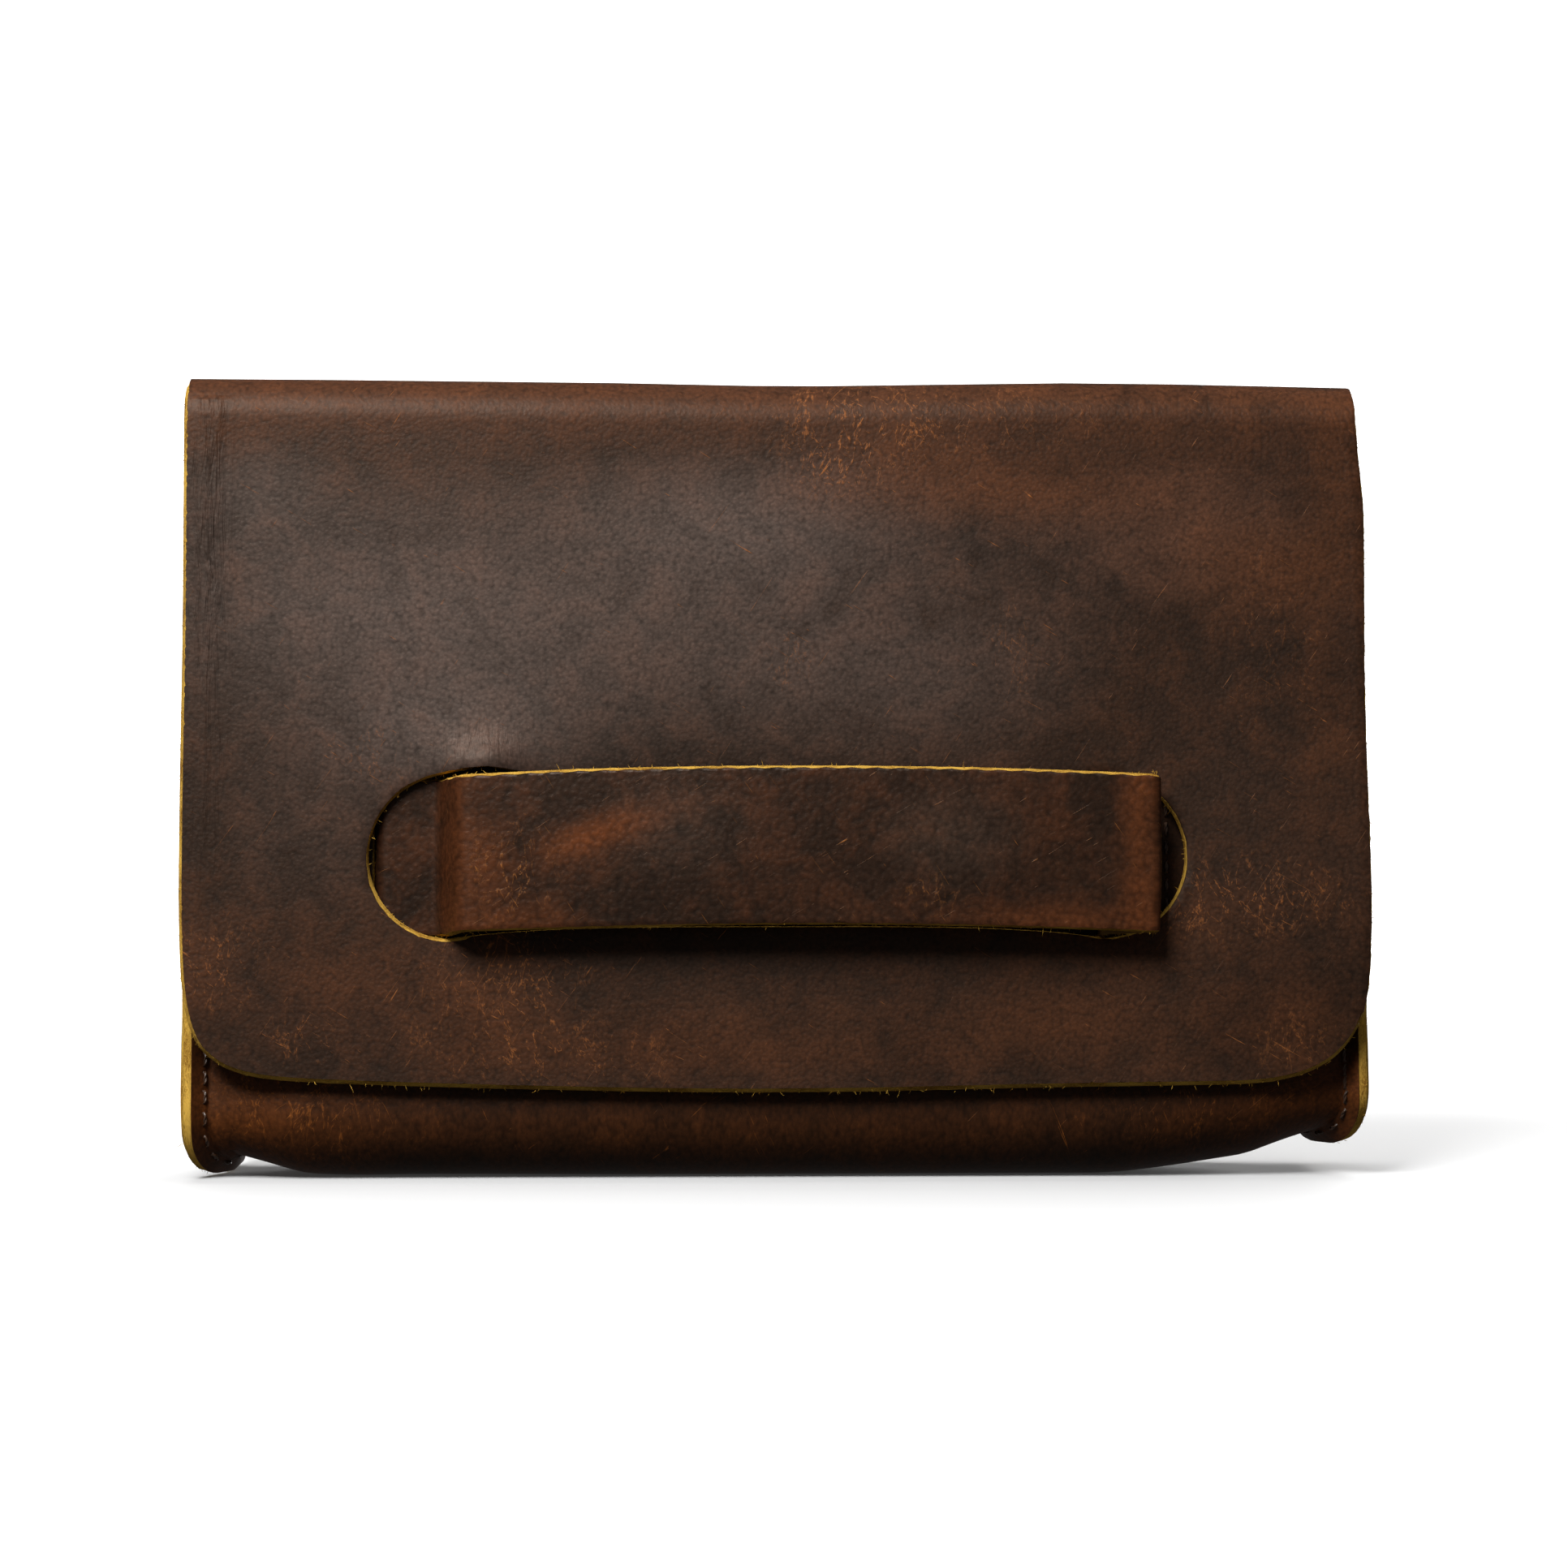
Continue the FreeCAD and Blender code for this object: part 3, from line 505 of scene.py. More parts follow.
def leather_sheet(name, loops, place, side, materials, across, along, thick=LEATHER, bevel=None,
                  paint=None, crease=None, hairs=0.0, seed=1, longest=1.3):
    """A sheet with a grain skin, a flesh skin and raw cut walls.
    bevel(points) gives how much smaller the grain side is cut; hairs is fibres per millimetre of edge."""
    rng = np.random.default_rng(seed)
    flat, tri, counts = net(loops, across, along)
    total = sum(counts)
    trimmed = flat.copy()
    inward = np.concatenate([loop_inward(loop, k == 0) for k, loop in enumerate(loops)])
    cut = np.full(total, 0.15) if bevel is None else bevel(flat[:total])
    trimmed[:total] += inward * cut[:, None]
    height = np.full(len(flat), thick / 2)
    height[:total] -= np.minimum(0.18, cut * 0.4)
    outer = surface(place, side, trimmed, height)
    inner = surface(place, side, flat, -thick / 2)
    walls, flats = [], []
    for share in (0.72, 0.4, 0.1):
        ragged = rng.normal(0, 0.05, total)[:, None] - 0.03
        spot = flat[:total] + inward * (cut * share)[:, None] + inward * ragged * (cut > 0)[:, None]
        walls.append(surface(place, side, spot, thick * (share - 0.5)))
        flats.append(spot)
    count = len(flat)
    points = np.concatenate([outer, inner] + walls)
    rows = [np.arange(total)] + [2 * count + k * total + np.arange(total) for k in range(3)]
    rows.append(count + np.arange(total))
    turned = tri if side > 0 else tri[:, ::-1]
    faces = [tuple(f) for f in turned] + [tuple(f[::-1] + count) for f in turned]
    kinds = [0] * len(tri) + [1] * len(tri)
    start = 0
    for number, size in enumerate(counts):
        ring = start + np.arange(size)
        following = start + (np.arange(size) + 1) % size
        loop = loops[number]
        area = np.sum(loop[:, 0] * np.roll(loop[:, 1], -1) - np.roll(loop[:, 0], -1) * loop[:, 1])
        forward = (area > 0) == (number == 0)
        forward = forward == (side > 0)
        for upper, lower in zip(rows, rows[1:]):
            for a, b in zip(ring, following):
                quad = (lower[a], lower[b], upper[b], upper[a])
                faces.append(quad if forward else quad[::-1])
                kinds.append(2)
        start += size
    hide = np.zeros((len(points), 3))
    hide[:count, :2] = trimmed
    hide[count:2 * count, :2] = flat
    for k, spot in enumerate(flats):
        hide[2 * count + k * total:2 * count + (k + 1) * total, :2] = spot
        hide[2 * count + k * total:2 * count + (k + 1) * total, 2] = thick * (1 + k)
    finish = np.zeros((len(points), 3))
    pressed = np.zeros(len(points))
    if paint is not None:
        finish = paint(hide[:, 0], hide[:, 1])
    if crease is not None:
        pressed = crease(hide[:, 0], hide[:, 1])
    hide[:, 2] += seed * 40
    if hairs > 0:
        middle = walls[1]
        outward = middle - surface(place, side, flat[:total] + inward, thick * -0.1)
        outward /= np.linalg.norm(outward, axis=1, keepdims=True)
        edge_length = np.linalg.norm(np.diff(middle, axis=0), axis=1).sum()
        usable = np.flatnonzero(cut > 0)
        corners, hair_faces = fibres(middle[usable], outward[usable], int(edge_length * hairs), rng, longest)
        base = len(points)
        points = np.concatenate([points, corners])
        faces += [tuple(base + v for v in face) for face in hair_faces]
        kinds += [2] * len(hair_faces)
        hide = np.concatenate([hide, np.array(corners)])
        finish = np.concatenate([finish, np.zeros((len(corners), 3))])
        pressed = np.concatenate([pressed, np.zeros(len(corners))])
    made = make_mesh(name, points, faces, kinds, materials, hide * MM, finish, pressed)
    print(f"{name}: {len(points)} points, {len(faces)} faces")
    return made


def rectangle(across, along):
    """A closed loop round a net, through its own border points."""
    left, right = across[0], across[-1]
    bottom, top = along[0], along[-1]
    loop = [(u, bottom) for u in across[:-1]] + [(right, v) for v in along[:-1]]
    loop += [(u, top) for u in across[:0:-1]] + [(left, v) for v in along[:0:-1]]
    return np.array(loop, float)


def even(start, finish, step):
    return np.linspace(start, finish, max(2, int(round(abs(finish - start) / step)) + 1))


# %% [markdown]
# ## The section of the case
# Across its width the case panel isn't flat. Between the seams it bellies out, near each seam it dips,
# and past the seam its edge flares forward and out with the edge of the end wall lying behind it: the two
# raw edges side by side make the double mustard line at each end. At the top of the back the panel
# becomes the flap, so there the section runs out flat. At the bottom corners the seam turns in, and the
# right end of the bottom sits slightly off the table.

# %% Where the panel's leather lies
SEAM = 112.06          # the seam, from the middle of the case
BELLY = 96.0           # half the width of the belly
FLARE = math.radians(45)
section_line = rounded_line([(0, BELLY_LIFT), (BELLY, BELLY_LIFT), (SEAM + 0.25, 0.95),
                             (SEAM + 0.25 + 3.9, 4.85)], [28, 1.3])
section_run = distances(section_line)
PANEL_HALF = section_run[-1]
SEAM_RUN = float(np.interp(SEAM + 0.25, section_line[:, 0], section_run))
FLATTEN = 30.0


def tuck(far):
    """How far the seam turns in, round the bottom."""
    front_corner = smooth_step(far, case_run[-1] - 145, case_run[-1] - 128)
    back_corner = smooth_step(far, 118, 138)
    return 6.5 * (back_corner - front_corner)


def settle(x, z):
    """The right end of the bottom sits off the table."""
    return 5.3 * smooth_step(x, 62, 112) * (1 - smooth_step(z, 4, 26)) + 1.2 * smooth_step(
        -x, 80, 112) * (1 - smooth_step(z, 3, 14)) * (np.abs(x) < 108)


def place_section(x, lift, far):
    """A point at x and a lift above the case's line."""
    point, way = walk(case_line, far)
    outward = np.stack([-way[..., 1], way[..., 0]], -1)
    spot = point + outward * np.asarray(lift)[..., None]
    z = spot[..., 1] + settle(x, spot[..., 1])
    return np.stack([x, spot[..., 0], z], -1)


def place_panel(u, v):
    """u runs across from the middle, v down the back, under, and up the front."""
    width = np.abs(u)
    bent, _ = walk(section_line, width)
    flat = 1 - smooth_step(v, 2, FLATTEN)
    lift = bent[..., 1] * (1 - flat) + BELLY_LIFT * flat
    across = bent[..., 0] * (1 - flat) + width * flat
    across = across - tuck(v) * smooth_step(width, 70, SEAM)
    soft = 0.35 * np.sin(u / 31 + 1) * np.sin(v / 23) * smooth_step(BELLY - width, 0, 30)
    return place_section(np.sign(u) * across, lift + np.minimum(soft, 0), v)


# %% The panel: back, bottom and front
def slit(across, middle, half_wide, half_tall):
    up = np.linspace(middle - half_tall, middle + half_tall, 16)
    left = [(across - half_wide, v) for v in up]
    return np.array(left + [(across + half_wide, v) for v in up[::-1]])


SLOT_FOOT = (FRONT_FOOT[0] + (62.951 - FRONT_FOOT[1]) * math.tan(TILT), 62.951)
SLOT_FAR = case_run[-1] - (FRONT_TOP[1] - SLOT_FOOT[1]) / math.cos(TILT)
STRAP_WIDTH = 31.2
LEFT_SLIT, RIGHT_SLIT = -78.4, 64.4
SLIT_HALF_WIDE = 1.15
SLIT_HALF_TALL = STRAP_WIDTH / 2 + 0.3


def paint_panel(u, v):
    front = smooth_step(v, 150, 170)
    ends = smooth_step(np.abs(u), 88, 108)
    corner = hump(v, case_run[-1] - 131, 14) + hump(v, 131, 14)
    rub = 0.12 + 0.35 * corner * smooth_step(np.abs(u), 70, 108)
    rub += 0.25 * hump(u, -98, 14) * hump(v, 176, 9)
    rub += 0.18 * hump(v, 172, 9) + 0.3 * (1 - smooth_step(v, 0, 8)) + 0.2 * ends
    crackle = 0.35 * hump(v, 172, 10) + 0.3 * (1 - front)
    crackle += (0.9 * hump(u, -96, 14) + 0.5 * hump(u, 88, 20)) * hump(v, 174, 9)
    # A painted sheen on the back: a soft greyish highlight.
    painted_sheen = 0.3 * (1 - front) * hump(u, -30, 60) * hump(v, 70, 35)
    return np.stack([rub, painted_sheen, crackle], -1)


flange = even(SEAM_RUN + 0.5, PANEL_HALF, 0.55)
shoulder = even(BELLY - 14, SEAM_RUN, 1.1)
panel_across = np.concatenate(
    [-flange[::-1], -shoulder[::-1], even(-BELLY + 15, BELLY - 15, 3), shoulder, flange])
panel_along = np.concatenate([even(0, 126, 2.5), even(128, 176, 1.2), even(178, case_run[-1], 2.5)])


def panel_bevel(p):
    """The flanges' edges are cut slantwise, and the top of the back isn't cut at all."""
    cut = np.where(np.abs(p[:, 0]) > SEAM, 0.75, 0.3)
    return np.where(p[:, 1] < 0.01, 0.0, cut)


panel = leather_sheet(
    "case_panel",
    [rectangle(panel_across, panel_along)]
    + [slit(across, SLOT_FAR, SLIT_HALF_WIDE, SLIT_HALF_TALL) for across in (LEFT_SLIT, RIGHT_SLIT)],
    place_panel, 1, [panel_hide_painted_darker, suede, cut_edge], panel_across, panel_along,
    bevel=panel_bevel, paint=paint_panel, hairs=0.35, seed=3)
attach(panel, "case")
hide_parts("main_panel")

# %% [markdown]
# ## The end walls
# Each end wall is one sheet: a flat wall whose edge turns outwards and lies against the panel's flared
# edge. Each flat point knows how far it is from the case's line. Inside that line it lies in the wall,
# and outside it follows the flare. The wall dishes in a little, as unlined leather does.

# %% Where an end wall's leather lies
RIM = 5.75
far_marks = even(0, case_run[-1], 0.1)
marks, marked_ways = walk(case_line, far_marks)


def nearest_far(y, z):
    """For each point seen from the end: the distance along the case's line, and how far outside it lies."""
    y, z = np.asarray(y, float), np.asarray(z, float)
    nearest = np.hypot(y[..., None] - marks[:, 0], z[..., None] - marks[:, 1]).argmin(-1)
    way = marked_ways[nearest]
    offset_y, offset_z = y - marks[nearest, 0], z - marks[nearest, 1]
    slide = offset_y * way[..., 0] + offset_z * way[..., 1]
    out = -offset_y * way[..., 1] + offset_z * way[..., 0]
    return far_marks[nearest] + slide, out


def spread_tuck(y, z):
    """The seam's tuck, carried smoothly into the wall from its whole border."""
    gap = np.hypot(y[..., None] - marks[::10, 0], z[..., None] - marks[::10, 1])
    weight = 1 / (gap ** 4 + 1)
    return (weight * tuck(far_marks[::10])).sum(-1) / weight.sum(-1)


def wall_placer(side):
    """The place function of the left (-1) or right (1) end wall."""
    wall_x = SEAM + LEATHER / 2
    fold_lift = -0.35
    flared = (wall_x + 6 * math.sin(FLARE), fold_lift + 6 * math.cos(FLARE))
    turn_line = rounded_line([(wall_x, -12), (wall_x, fold_lift), flared], [1.4])
    turn_run = distances(turn_line)
    root = float(np.interp(fold_lift, turn_line[:, 1], turn_run))

    def place(u, v):
        far, out = nearest_far(u, v)
        near, _ = walk(turn_line, np.clip(root + out, 0, turn_run[-1]))
        flat = 1 - smooth_step(far, 2, FLATTEN)
        turned = near[..., 1] + 3.4 * smooth_step(out, -9, 0) * flat
        lift = out + (turned - out) * smooth_step(out, -11, -8)
        lift = np.where(flat > 0, np.minimum(lift, BELLY_LIFT - LEATHER), lift)
        by_seam = smooth_step(out, -4, -1)
        tucked = tuck(far) * by_seam + spread_tuck(u, v) * (1 - by_seam)
        x = near[..., 0] - tucked * smooth_step(out, -22, 0)
        x = x - 1.6 * smooth_step(-out, 2, 15) * smooth_step(v, 10, 60)
        return place_section(side * x, lift, far)
    return place


def wall_outline(extra):
    """The end wall's flat outline: the case's line grown by extra, closed straight across the mouth."""
    far = np.concatenate([even(0, 126, 2.4), even(127.5, 176, 1.1), even(178, case_run[-1], 2.4)])
    point, way = walk(case_line, far)
    outward = np.stack([-way[:, 1], way[:, 0]], -1)
    loop = point + outward * extra
    top = np.linspace(loop[-1], loop[0], 14)[1:-1]
    top[:, 1] -= 1.5 * np.sin(np.linspace(0, math.pi, 12))
    return np.concatenate([loop, top])


def paint_wall(u, v):
    rub = 0.15 + 0.25 * (1 - smooth_step(v, 5, 30)) + 0.2 * smooth_step(v, 125, 145)
    # The middle amount is a painted sheen, a soft greyish highlight across the wall.
    return np.stack([rub, 0.2 * hump(v, 80, 40), 0.35 + 0 * v], -1)


walls = {}
wall_loop = wall_outline(RIM)
(near_y, near_z), (far_y, far_z) = wall_loop.min(0), wall_loop.max(0)
for side, word in ((-1, "left"), (1, "right")):
    walls[side] = wall_placer(side)
    wall = leather_sheet(
        f"{word}_end_wall", [wall_loop], walls[side], side, [panel_hide_painted_darker, suede, cut_edge],
        even(near_y - 1, far_y + 1, 1.15), even(near_z - 1, far_z + 1, 1.8),
        bevel=lambda p: 0.3 + 0.08 * np.sin(p[:, 1] / 4), paint=paint_wall, hairs=0.4, seed=7 + side)
    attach(wall, "case")
    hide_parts(f"{word}_gusset")

# %% [markdown]
# ## The flap
# The flap is the same leather as the back. It stands up, rolls forward over the mouth and hangs down the
# front. It has two joints, and a blend works across one, so it is made as two meshes that meet in the
# middle of the roof, where neither bends. Its outline isn't a drafted rectangle: the bottom corners are
# cut by hand in a soft curve, the bottom edge bows down in the middle, and the top edge is slightly wavy.

# %% Where the flap's leather lies
HANG_Z = ROOF_Z - FOLD_RADIUS + FOLD_RADIUS * math.sin(TILT)
HANG_START = flap_run[-1] - (HANG_Z - FLAP_FOOT[1]) / math.cos(TILT)
ROOF_SPLIT = 24.0


def fall(z):
    """Distance along the flap's line of a height on the hanging part."""
    return HANG_START + (HANG_Z - np.asarray(z, float)) / math.cos(TILT)


def height_of(v):
    return HANG_Z - (v - HANG_START) * math.cos(TILT)


def roof_wave(x):
    """How far the top edge dips along the case."""
    places = [-118, -89, -31, -5, 10, 35, 58, 80, 118]
    return np.interp(x, places, [0, 0.1, 0.55, 1.0, 1.0, 0.6, 0.25, 0.4, 1.1])


def place_flap(u, v):
    point, way = walk(flap_line, v)
    outward = np.stack([way[..., 1], -way[..., 0]], -1)
    z = height_of(v)
    hanging = smooth_step(v, HANG_START, HANG_START + 25)
    # Soft waves, always outwards, and the lip that the strap pushes up at the left end of the slot.
    wave = 0.5 + 0.5 * np.sin(u / 24 + 0.8 + 0.5 * np.sin(z / 19)) * np.cos(z / 27 + u / 60)
    flat_at_fold = 1 - hump(u, 70, 16) * hump(z, 64, 26)  # the strap's fold presses the flap flat
    lift = hanging * 0.55 * wave * flat_at_fold * (1 - smooth_step(-z, -40, -20) * 0.5)
    lip = hump(u, -57.5, 6.5) * hump(z, 80.5, 4.5)
    lift = lift + 2.8 * lip * hanging
    lift = lift + 0.9 * smooth_step(u, 76, 117) * hump(z, 58, 34)
    lift = lift + 0.7 * smooth_step(-u, 80, 117) * hump(z, 30, 22)
    spot = point + outward * lift[..., None]
    roof = smooth_step(v, 4, 22) * (1 - smooth_step(v, HANG_START - 2, HANG_START + 30))
    drop = roof_wave(u) * roof
    by_bend = smooth_step(v, 20, 36) * (1 - smooth_step(v, HANG_START - 4, HANG_START + 22))
    x = u - 1.6 * smooth_step(u, 100, 118) * by_bend  # the right end of the top edge is cut shorter
    return np.stack([x, spot[..., 0], spot[..., 1] - drop + 1.4 * lip * hanging], -1)


# %% The flap's outline, slot, and its wear, painted sheen and crackle
def spread(points, step):
    """A smooth line through the points, cut to even steps."""
    points = np.array(points, float)
    padded = np.concatenate([[2 * points[0] - points[1]], points, [2 * points[-1] - points[-2]]])
    line = []
    for p0, p1, p2, p3 in zip(padded, padded[1:], padded[2:], padded[3:]):
        for t in np.linspace(0, 1, 24, endpoint=False):
            line.append(0.5 * (2 * p1 + (p2 - p0) * t + (2 * p0 - 5 * p1 + 4 * p2 - p3) * t * t
                               + (3 * p1 - p0 - 3 * p2 + p3) * t ** 3))
    line.append(points[-1])
    line = np.array(line)
    run = distances(line)
    far = even(0, run[-1], step)
    return np.stack([np.interp(far, run, line[:, k]) for k in (0, 1)], -1)


EDGE_STEP = 1.1
left_edge = [(-TIP, HANG_Z - 1), (-TIP + 0.1, 110), (-TIP - 0.1, 75), (-TIP, 52), (-116.6, 37),
             (-114.3, 28.3), (-110.6, 24.0), (-105.8, 21.6), (-98.5, 20.2), (-85, 19.4), (-62, 18.6),
             (-30, 17.8), (-5, 17.5)]
right_edge = [(-5, 17.5), (20, 17.7), (50, 18.3), (80, 18.7), (93, 19.0), (100, 19.9), (105.5, 21.6),
              (110.3, 24.6), (114.2, 29.5), (116.3, 35.5), (TIP - 0.3, 44), (TIP, 58), (TIP - 0.5, 90),
              (TIP - 0.3, 120), (TIP, HANG_Z - 1)]
hem = np.concatenate([spread(left_edge, EDGE_STEP)[:-1], spread(right_edge, EDGE_STEP)])
hem_loop = np.stack([hem[:, 0], fall(hem[:, 1])], -1)
roof_sides = even(ROOF_SPLIT, fall(HANG_Z - 1), EDGE_STEP)[:-1]
join = even(TIP, -TIP, 2.2)
flap_loop = np.concatenate([
    np.stack([np.full(len(roof_sides) - 1, -TIP), roof_sides[1:]], -1), hem_loop,
    np.stack([np.full(len(roof_sides) - 1, TIP), roof_sides[:0:-1]], -1),
    np.stack([join, np.full(len(join), ROOF_SPLIT)], -1)])
SLOT_HALF, SLOT_RADIUS, SLOT_Z = 64.5, 16.0, 63.7
slot_loop = []
for centre, start in ((SLOT_HALF, -90), (-SLOT_HALF, 90)):
    for angle in np.radians(np.arange(start, start + 180.1, 5)):
        slot_loop.append((centre + SLOT_RADIUS * math.cos(angle), SLOT_Z + SLOT_RADIUS * math.sin(angle)))
    run = even(centre, -centre, 1.5)[1:-1]
    rise = 2.3 * (1 - (run / SLOT_HALF) ** 4) * (centre < 0)
    slot_loop += list(zip(run, SLOT_Z + SLOT_RADIUS * (1 if centre > 0 else -1) + rise))
slot_loop = np.array(slot_loop)
slot_loop = np.stack([slot_loop[:, 0], fall(slot_loop[:, 1])], -1)


def flap_bevel(p):
    """How wide the raw core shows: wide on the left edge and the lower left of the slot."""
    z = height_of(p[:, 1])
    on_slot = (np.abs(p[:, 0]) < 82) & (z > 40) & (z < 90)
    edge = np.where(p[:, 0] < -TIP + 2, 0.95, np.where(p[:, 0] > TIP - 2, 0.35, 0.8))
    left_end = p[:, 0] < -60
    slot = 0.22 + left_end * (0.1 + 0.45 * (1 - smooth_step(z, 52, 66))) + 0.2 * (p[:, 0] > 60)
    bevel = np.where(on_slot, slot, edge) * (1 + 0.15 * np.sin(p[:, 0] * 1.7 + p[:, 1] * 0.9))
    return np.where(np.abs(p[:, 1] - ROOF_SPLIT) < 0.01, 0.0, bevel)


def blobs(x, z, spots):
    """The sum of soft patches: middle x, middle z, half width, half height, strength."""
    total = 0 * x
    for middle_x, middle_z, wide, tall, strength in spots:
        total = total + strength * hump(x, middle_x, wide) * hump(z, middle_z, tall)
    return total


RUBBED = [(79, 130, 24, 12, 0.25), (42, 136, 34, 6, 0.45), (28, 144, 16, 6, 0.3), (97, 122, 18, 9, 0.35),
          (112, 143, 6, 20, 0.25), (-57, 34, 12, 11, 0.4), (76, 50, 26, 8, 0.25), (-85, 40, 20, 10, 0.25),
          (-12, 29, 34, 7, 0.2), (55, 33, 22, 9, 0.3), (-113, 42, 7, 13, 0.3), (-58, 86, 8, 4, 0.2),
          (100, 30, 14, 9, 0.25), (-20, 24, 70, 4, 0.2), (110, 90, 8, 26, 0.2)]
# Spots of painted sheen: the key light's greyish reflection in the wax, strongest upper left and in the middle.
SHEEN_SPOTS = [(80, 130, 32, 16, 0.4), (-81, 114, 46, 22, 0.8), (-6, 131, 38, 15, 0.85), (-63, 88, 22, 10, 0.7),
        (-17, 104, 62, 20, 0.55), (-104, 138, 14, 12, 0.45), (30, 98, 34, 18, 0.3), (-90, 70, 30, 22, 0.3)]
CRACKLED = [(15, 146, 13, 11, 0.9), (39, 149, 26, 5, 0.55), (90, 55, 23, 8, 0.9), (-54, 40, 16, 15, 0.9),
            (-110, 42, 10, 10, 0.7), (-94, 27.5, 7, 6, 0.6), (46, 104, 7, 14, 0.45), (2, 103, 5, 8, 0.5),
            (101, 27, 14, 8, 0.5), (-41, 24, 32, 6, 0.5), (100, 110, 14, 30, 0.35), (-80, 84, 10, 8, 0.5)]


def paint_flap(u, v):
    z = np.where(v < HANG_START, HANG_Z + (HANG_START - v) * 0.6, height_of(v))
    bend = hump(v, HANG_START - 4, 9.5)
    rub = 0.1 + 0.36 * bend + blobs(u, z, RUBBED) * (v > HANG_START - 8) + 0.4 * hump(v, 9, 7)
    # Painted sheen from the spots, weaker on the bend, and a painted sheen band across the roof.
    painted_sheen = blobs(u, z, SHEEN_SPOTS) * (1 - 0.8 * bend) + 0.25 * hump(v, 24, 6)
    crackle = 0.15 + blobs(u, z, CRACKLED) + 0.15 * bend
    return np.stack([rub, painted_sheen, crackle], -1)


def crease_flap(u, v):
    """Creases by the left edge, where the seam below presses through, and above the strap's lip."""
    z = height_of(v)
    hanging = v > HANG_START - 4
    left = hump(u, -112.3, 3.4) * (0.35 + 0.65 * hump(z, 126, 22)) * smooth_step(z, 40, 75) * hanging
    lip = 0.5 * hump(u, -60, 9) * hump(z, 85, 5)
    return left + lip


# %% The hanging front and the front half of the roof
flap_across = even(-TIP + 1, TIP - 1, 1.9)
flap_along = np.concatenate(
    [even(ROOF_SPLIT + 1, HANG_START + 4, 0.9), even(HANG_START + 6, flap_run[-1], 1.9)])
flap = leather_sheet("flap_front_leather", [flap_loop, slot_loop], place_flap, -1, [flap_hide, suede, cut_edge],
                     flap_across, flap_along, bevel=flap_bevel, paint=paint_flap, crease=crease_flap,
                     hairs=0.9, seed=11)
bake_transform(flap)
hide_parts("flap_front")

# %% The rear bend and the back half of the roof
rear_across = even(-TIP, TIP, 2.2)
rear_along = np.concatenate([even(0, 2.4, 0.6), even(3, ROOF_SPLIT, 0.9)])
rear = leather_sheet(
    "flap_rear_leather", [rectangle(rear_across, rear_along)], place_flap, -1, [flap_hide, suede, cut_edge],
    rear_across, rear_along,
    bevel=lambda p: np.where((p[:, 1] < 0.01) | (p[:, 1] > ROOF_SPLIT - 0.01), 0.0, 0.45), paint=paint_flap,
    hairs=0.2, seed=11)
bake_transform(rear)
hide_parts("flap_roof")

# %% [markdown]
# ## The hand strap
# The strap is one strip. A tab at each end goes in through a slit in the front and is sewn inside. The
# left end lies on the front under the flap, turns up through the slot and runs across as the grip. At the
# right end it folds sharply back and under itself. It is drawn edge-on as a bent line and swept at the
# strap's width. The grip arches slightly upwards. It blends from the case to the loose grip, so that it
# can be pulled out or pressed in.

# %% Where the strap's leather lies
STRAP_LIFT = 16.6
strap_line = rounded_line([
    (-92.5, 2.7), (LEFT_SLIT, 2.7), (LEFT_SLIT, 6.6), (-66.3, 6.6), (-62.0, STRAP_LIFT), (5, STRAP_LIFT + 0.5),
    (77.2, STRAP_LIFT), (RIGHT_SLIT, 9.6), (RIGHT_SLIT, 2.7), (78.4, 2.7)],
    [1.6, 1.6, 3.0, 3.0, 220, 1.05, 1.6, 1.6])
strap_run = distances(strap_line)
UPWARD = np.array([0, math.sin(TILT), math.cos(TILT)])
OUTWARD = np.array([0, -math.cos(TILT), math.sin(TILT)])
SLOT_POINT = np.array([0, SLOT_FOOT[0], SLOT_FOOT[1]])


def grip_share(point):
    """1 on the outer run of the strap, 0 near the case."""
    return smooth_step(point[..., 1], 9, 16)


def place_strap(u, v):
    point, _ = walk(strap_line, u)
    out = grip_share(point)
    arch = 1.7 * out * np.clip(1 - ((point[..., 0] - 5) / 72) ** 2, 0, 1)
    bow = 1.0 * out * np.clip(1 - ((point[..., 0] - 15) / 76) ** 2, 0, 1) ** 1.5
    cup = -0.35 * out * (v / (STRAP_WIDTH / 2)) ** 2 * hump(point[..., 0], 5, 60)
    lift = point[..., 1] + bow + cup
    taper = 1 - 0.012 * out * hump(point[..., 0], -60, 12)
    across = point[..., 0] - 0.5 * out * hump(v, -STRAP_WIDTH / 2, 8) * smooth_step(point[..., 0], 60, 76)
    return (SLOT_POINT + OUTWARD * lift[..., None] + UPWARD * (v * taper + arch)[..., None]
            + np.stack([across, 0 * across, 0 * across], -1))


def paint_strap(u, v):
    point, _ = walk(strap_line, u)
    out = grip_share(point)
    x = point[..., 0]
    rub = 0.12 + 0.3 * hump(x, -62.0, 4.5) * smooth_step(point[..., 1], 7, 10) + 0.5 * out * hump(x, 71.0, 4.0)
    streak = hump((v - 2.5) - 0.28 * (x + 36), 0, 3.2) * hump(x, -36, 10)
    rub = rub + 0.8 * streak * out + 0.35 * out * hump(x, -56, 4) * hump(v, -3, 9)
    rub = rub + 0.45 * out * hump(v, -14, 3.0) * (hump(x, -50, 10) + hump(x, 55, 16)) + 0.08 * (1 - out)
    crackle = 0.25 + 0.6 * out * hump(x, -52, 7) * hump(v, -4, 9) + 0.4 * out * hump(x, 30, 6) * hump(v, -9, 4)
    # Two painted highlights along the grip: the key light's greyish sheen.
    painted_sheen = out * (0.5 * hump(x, -20, 16) * hump(v, 4, 12) + 0.55 * hump(x, 33, 16) * hump(v, 2, 11))
    return np.stack([rub, painted_sheen, crackle], -1)


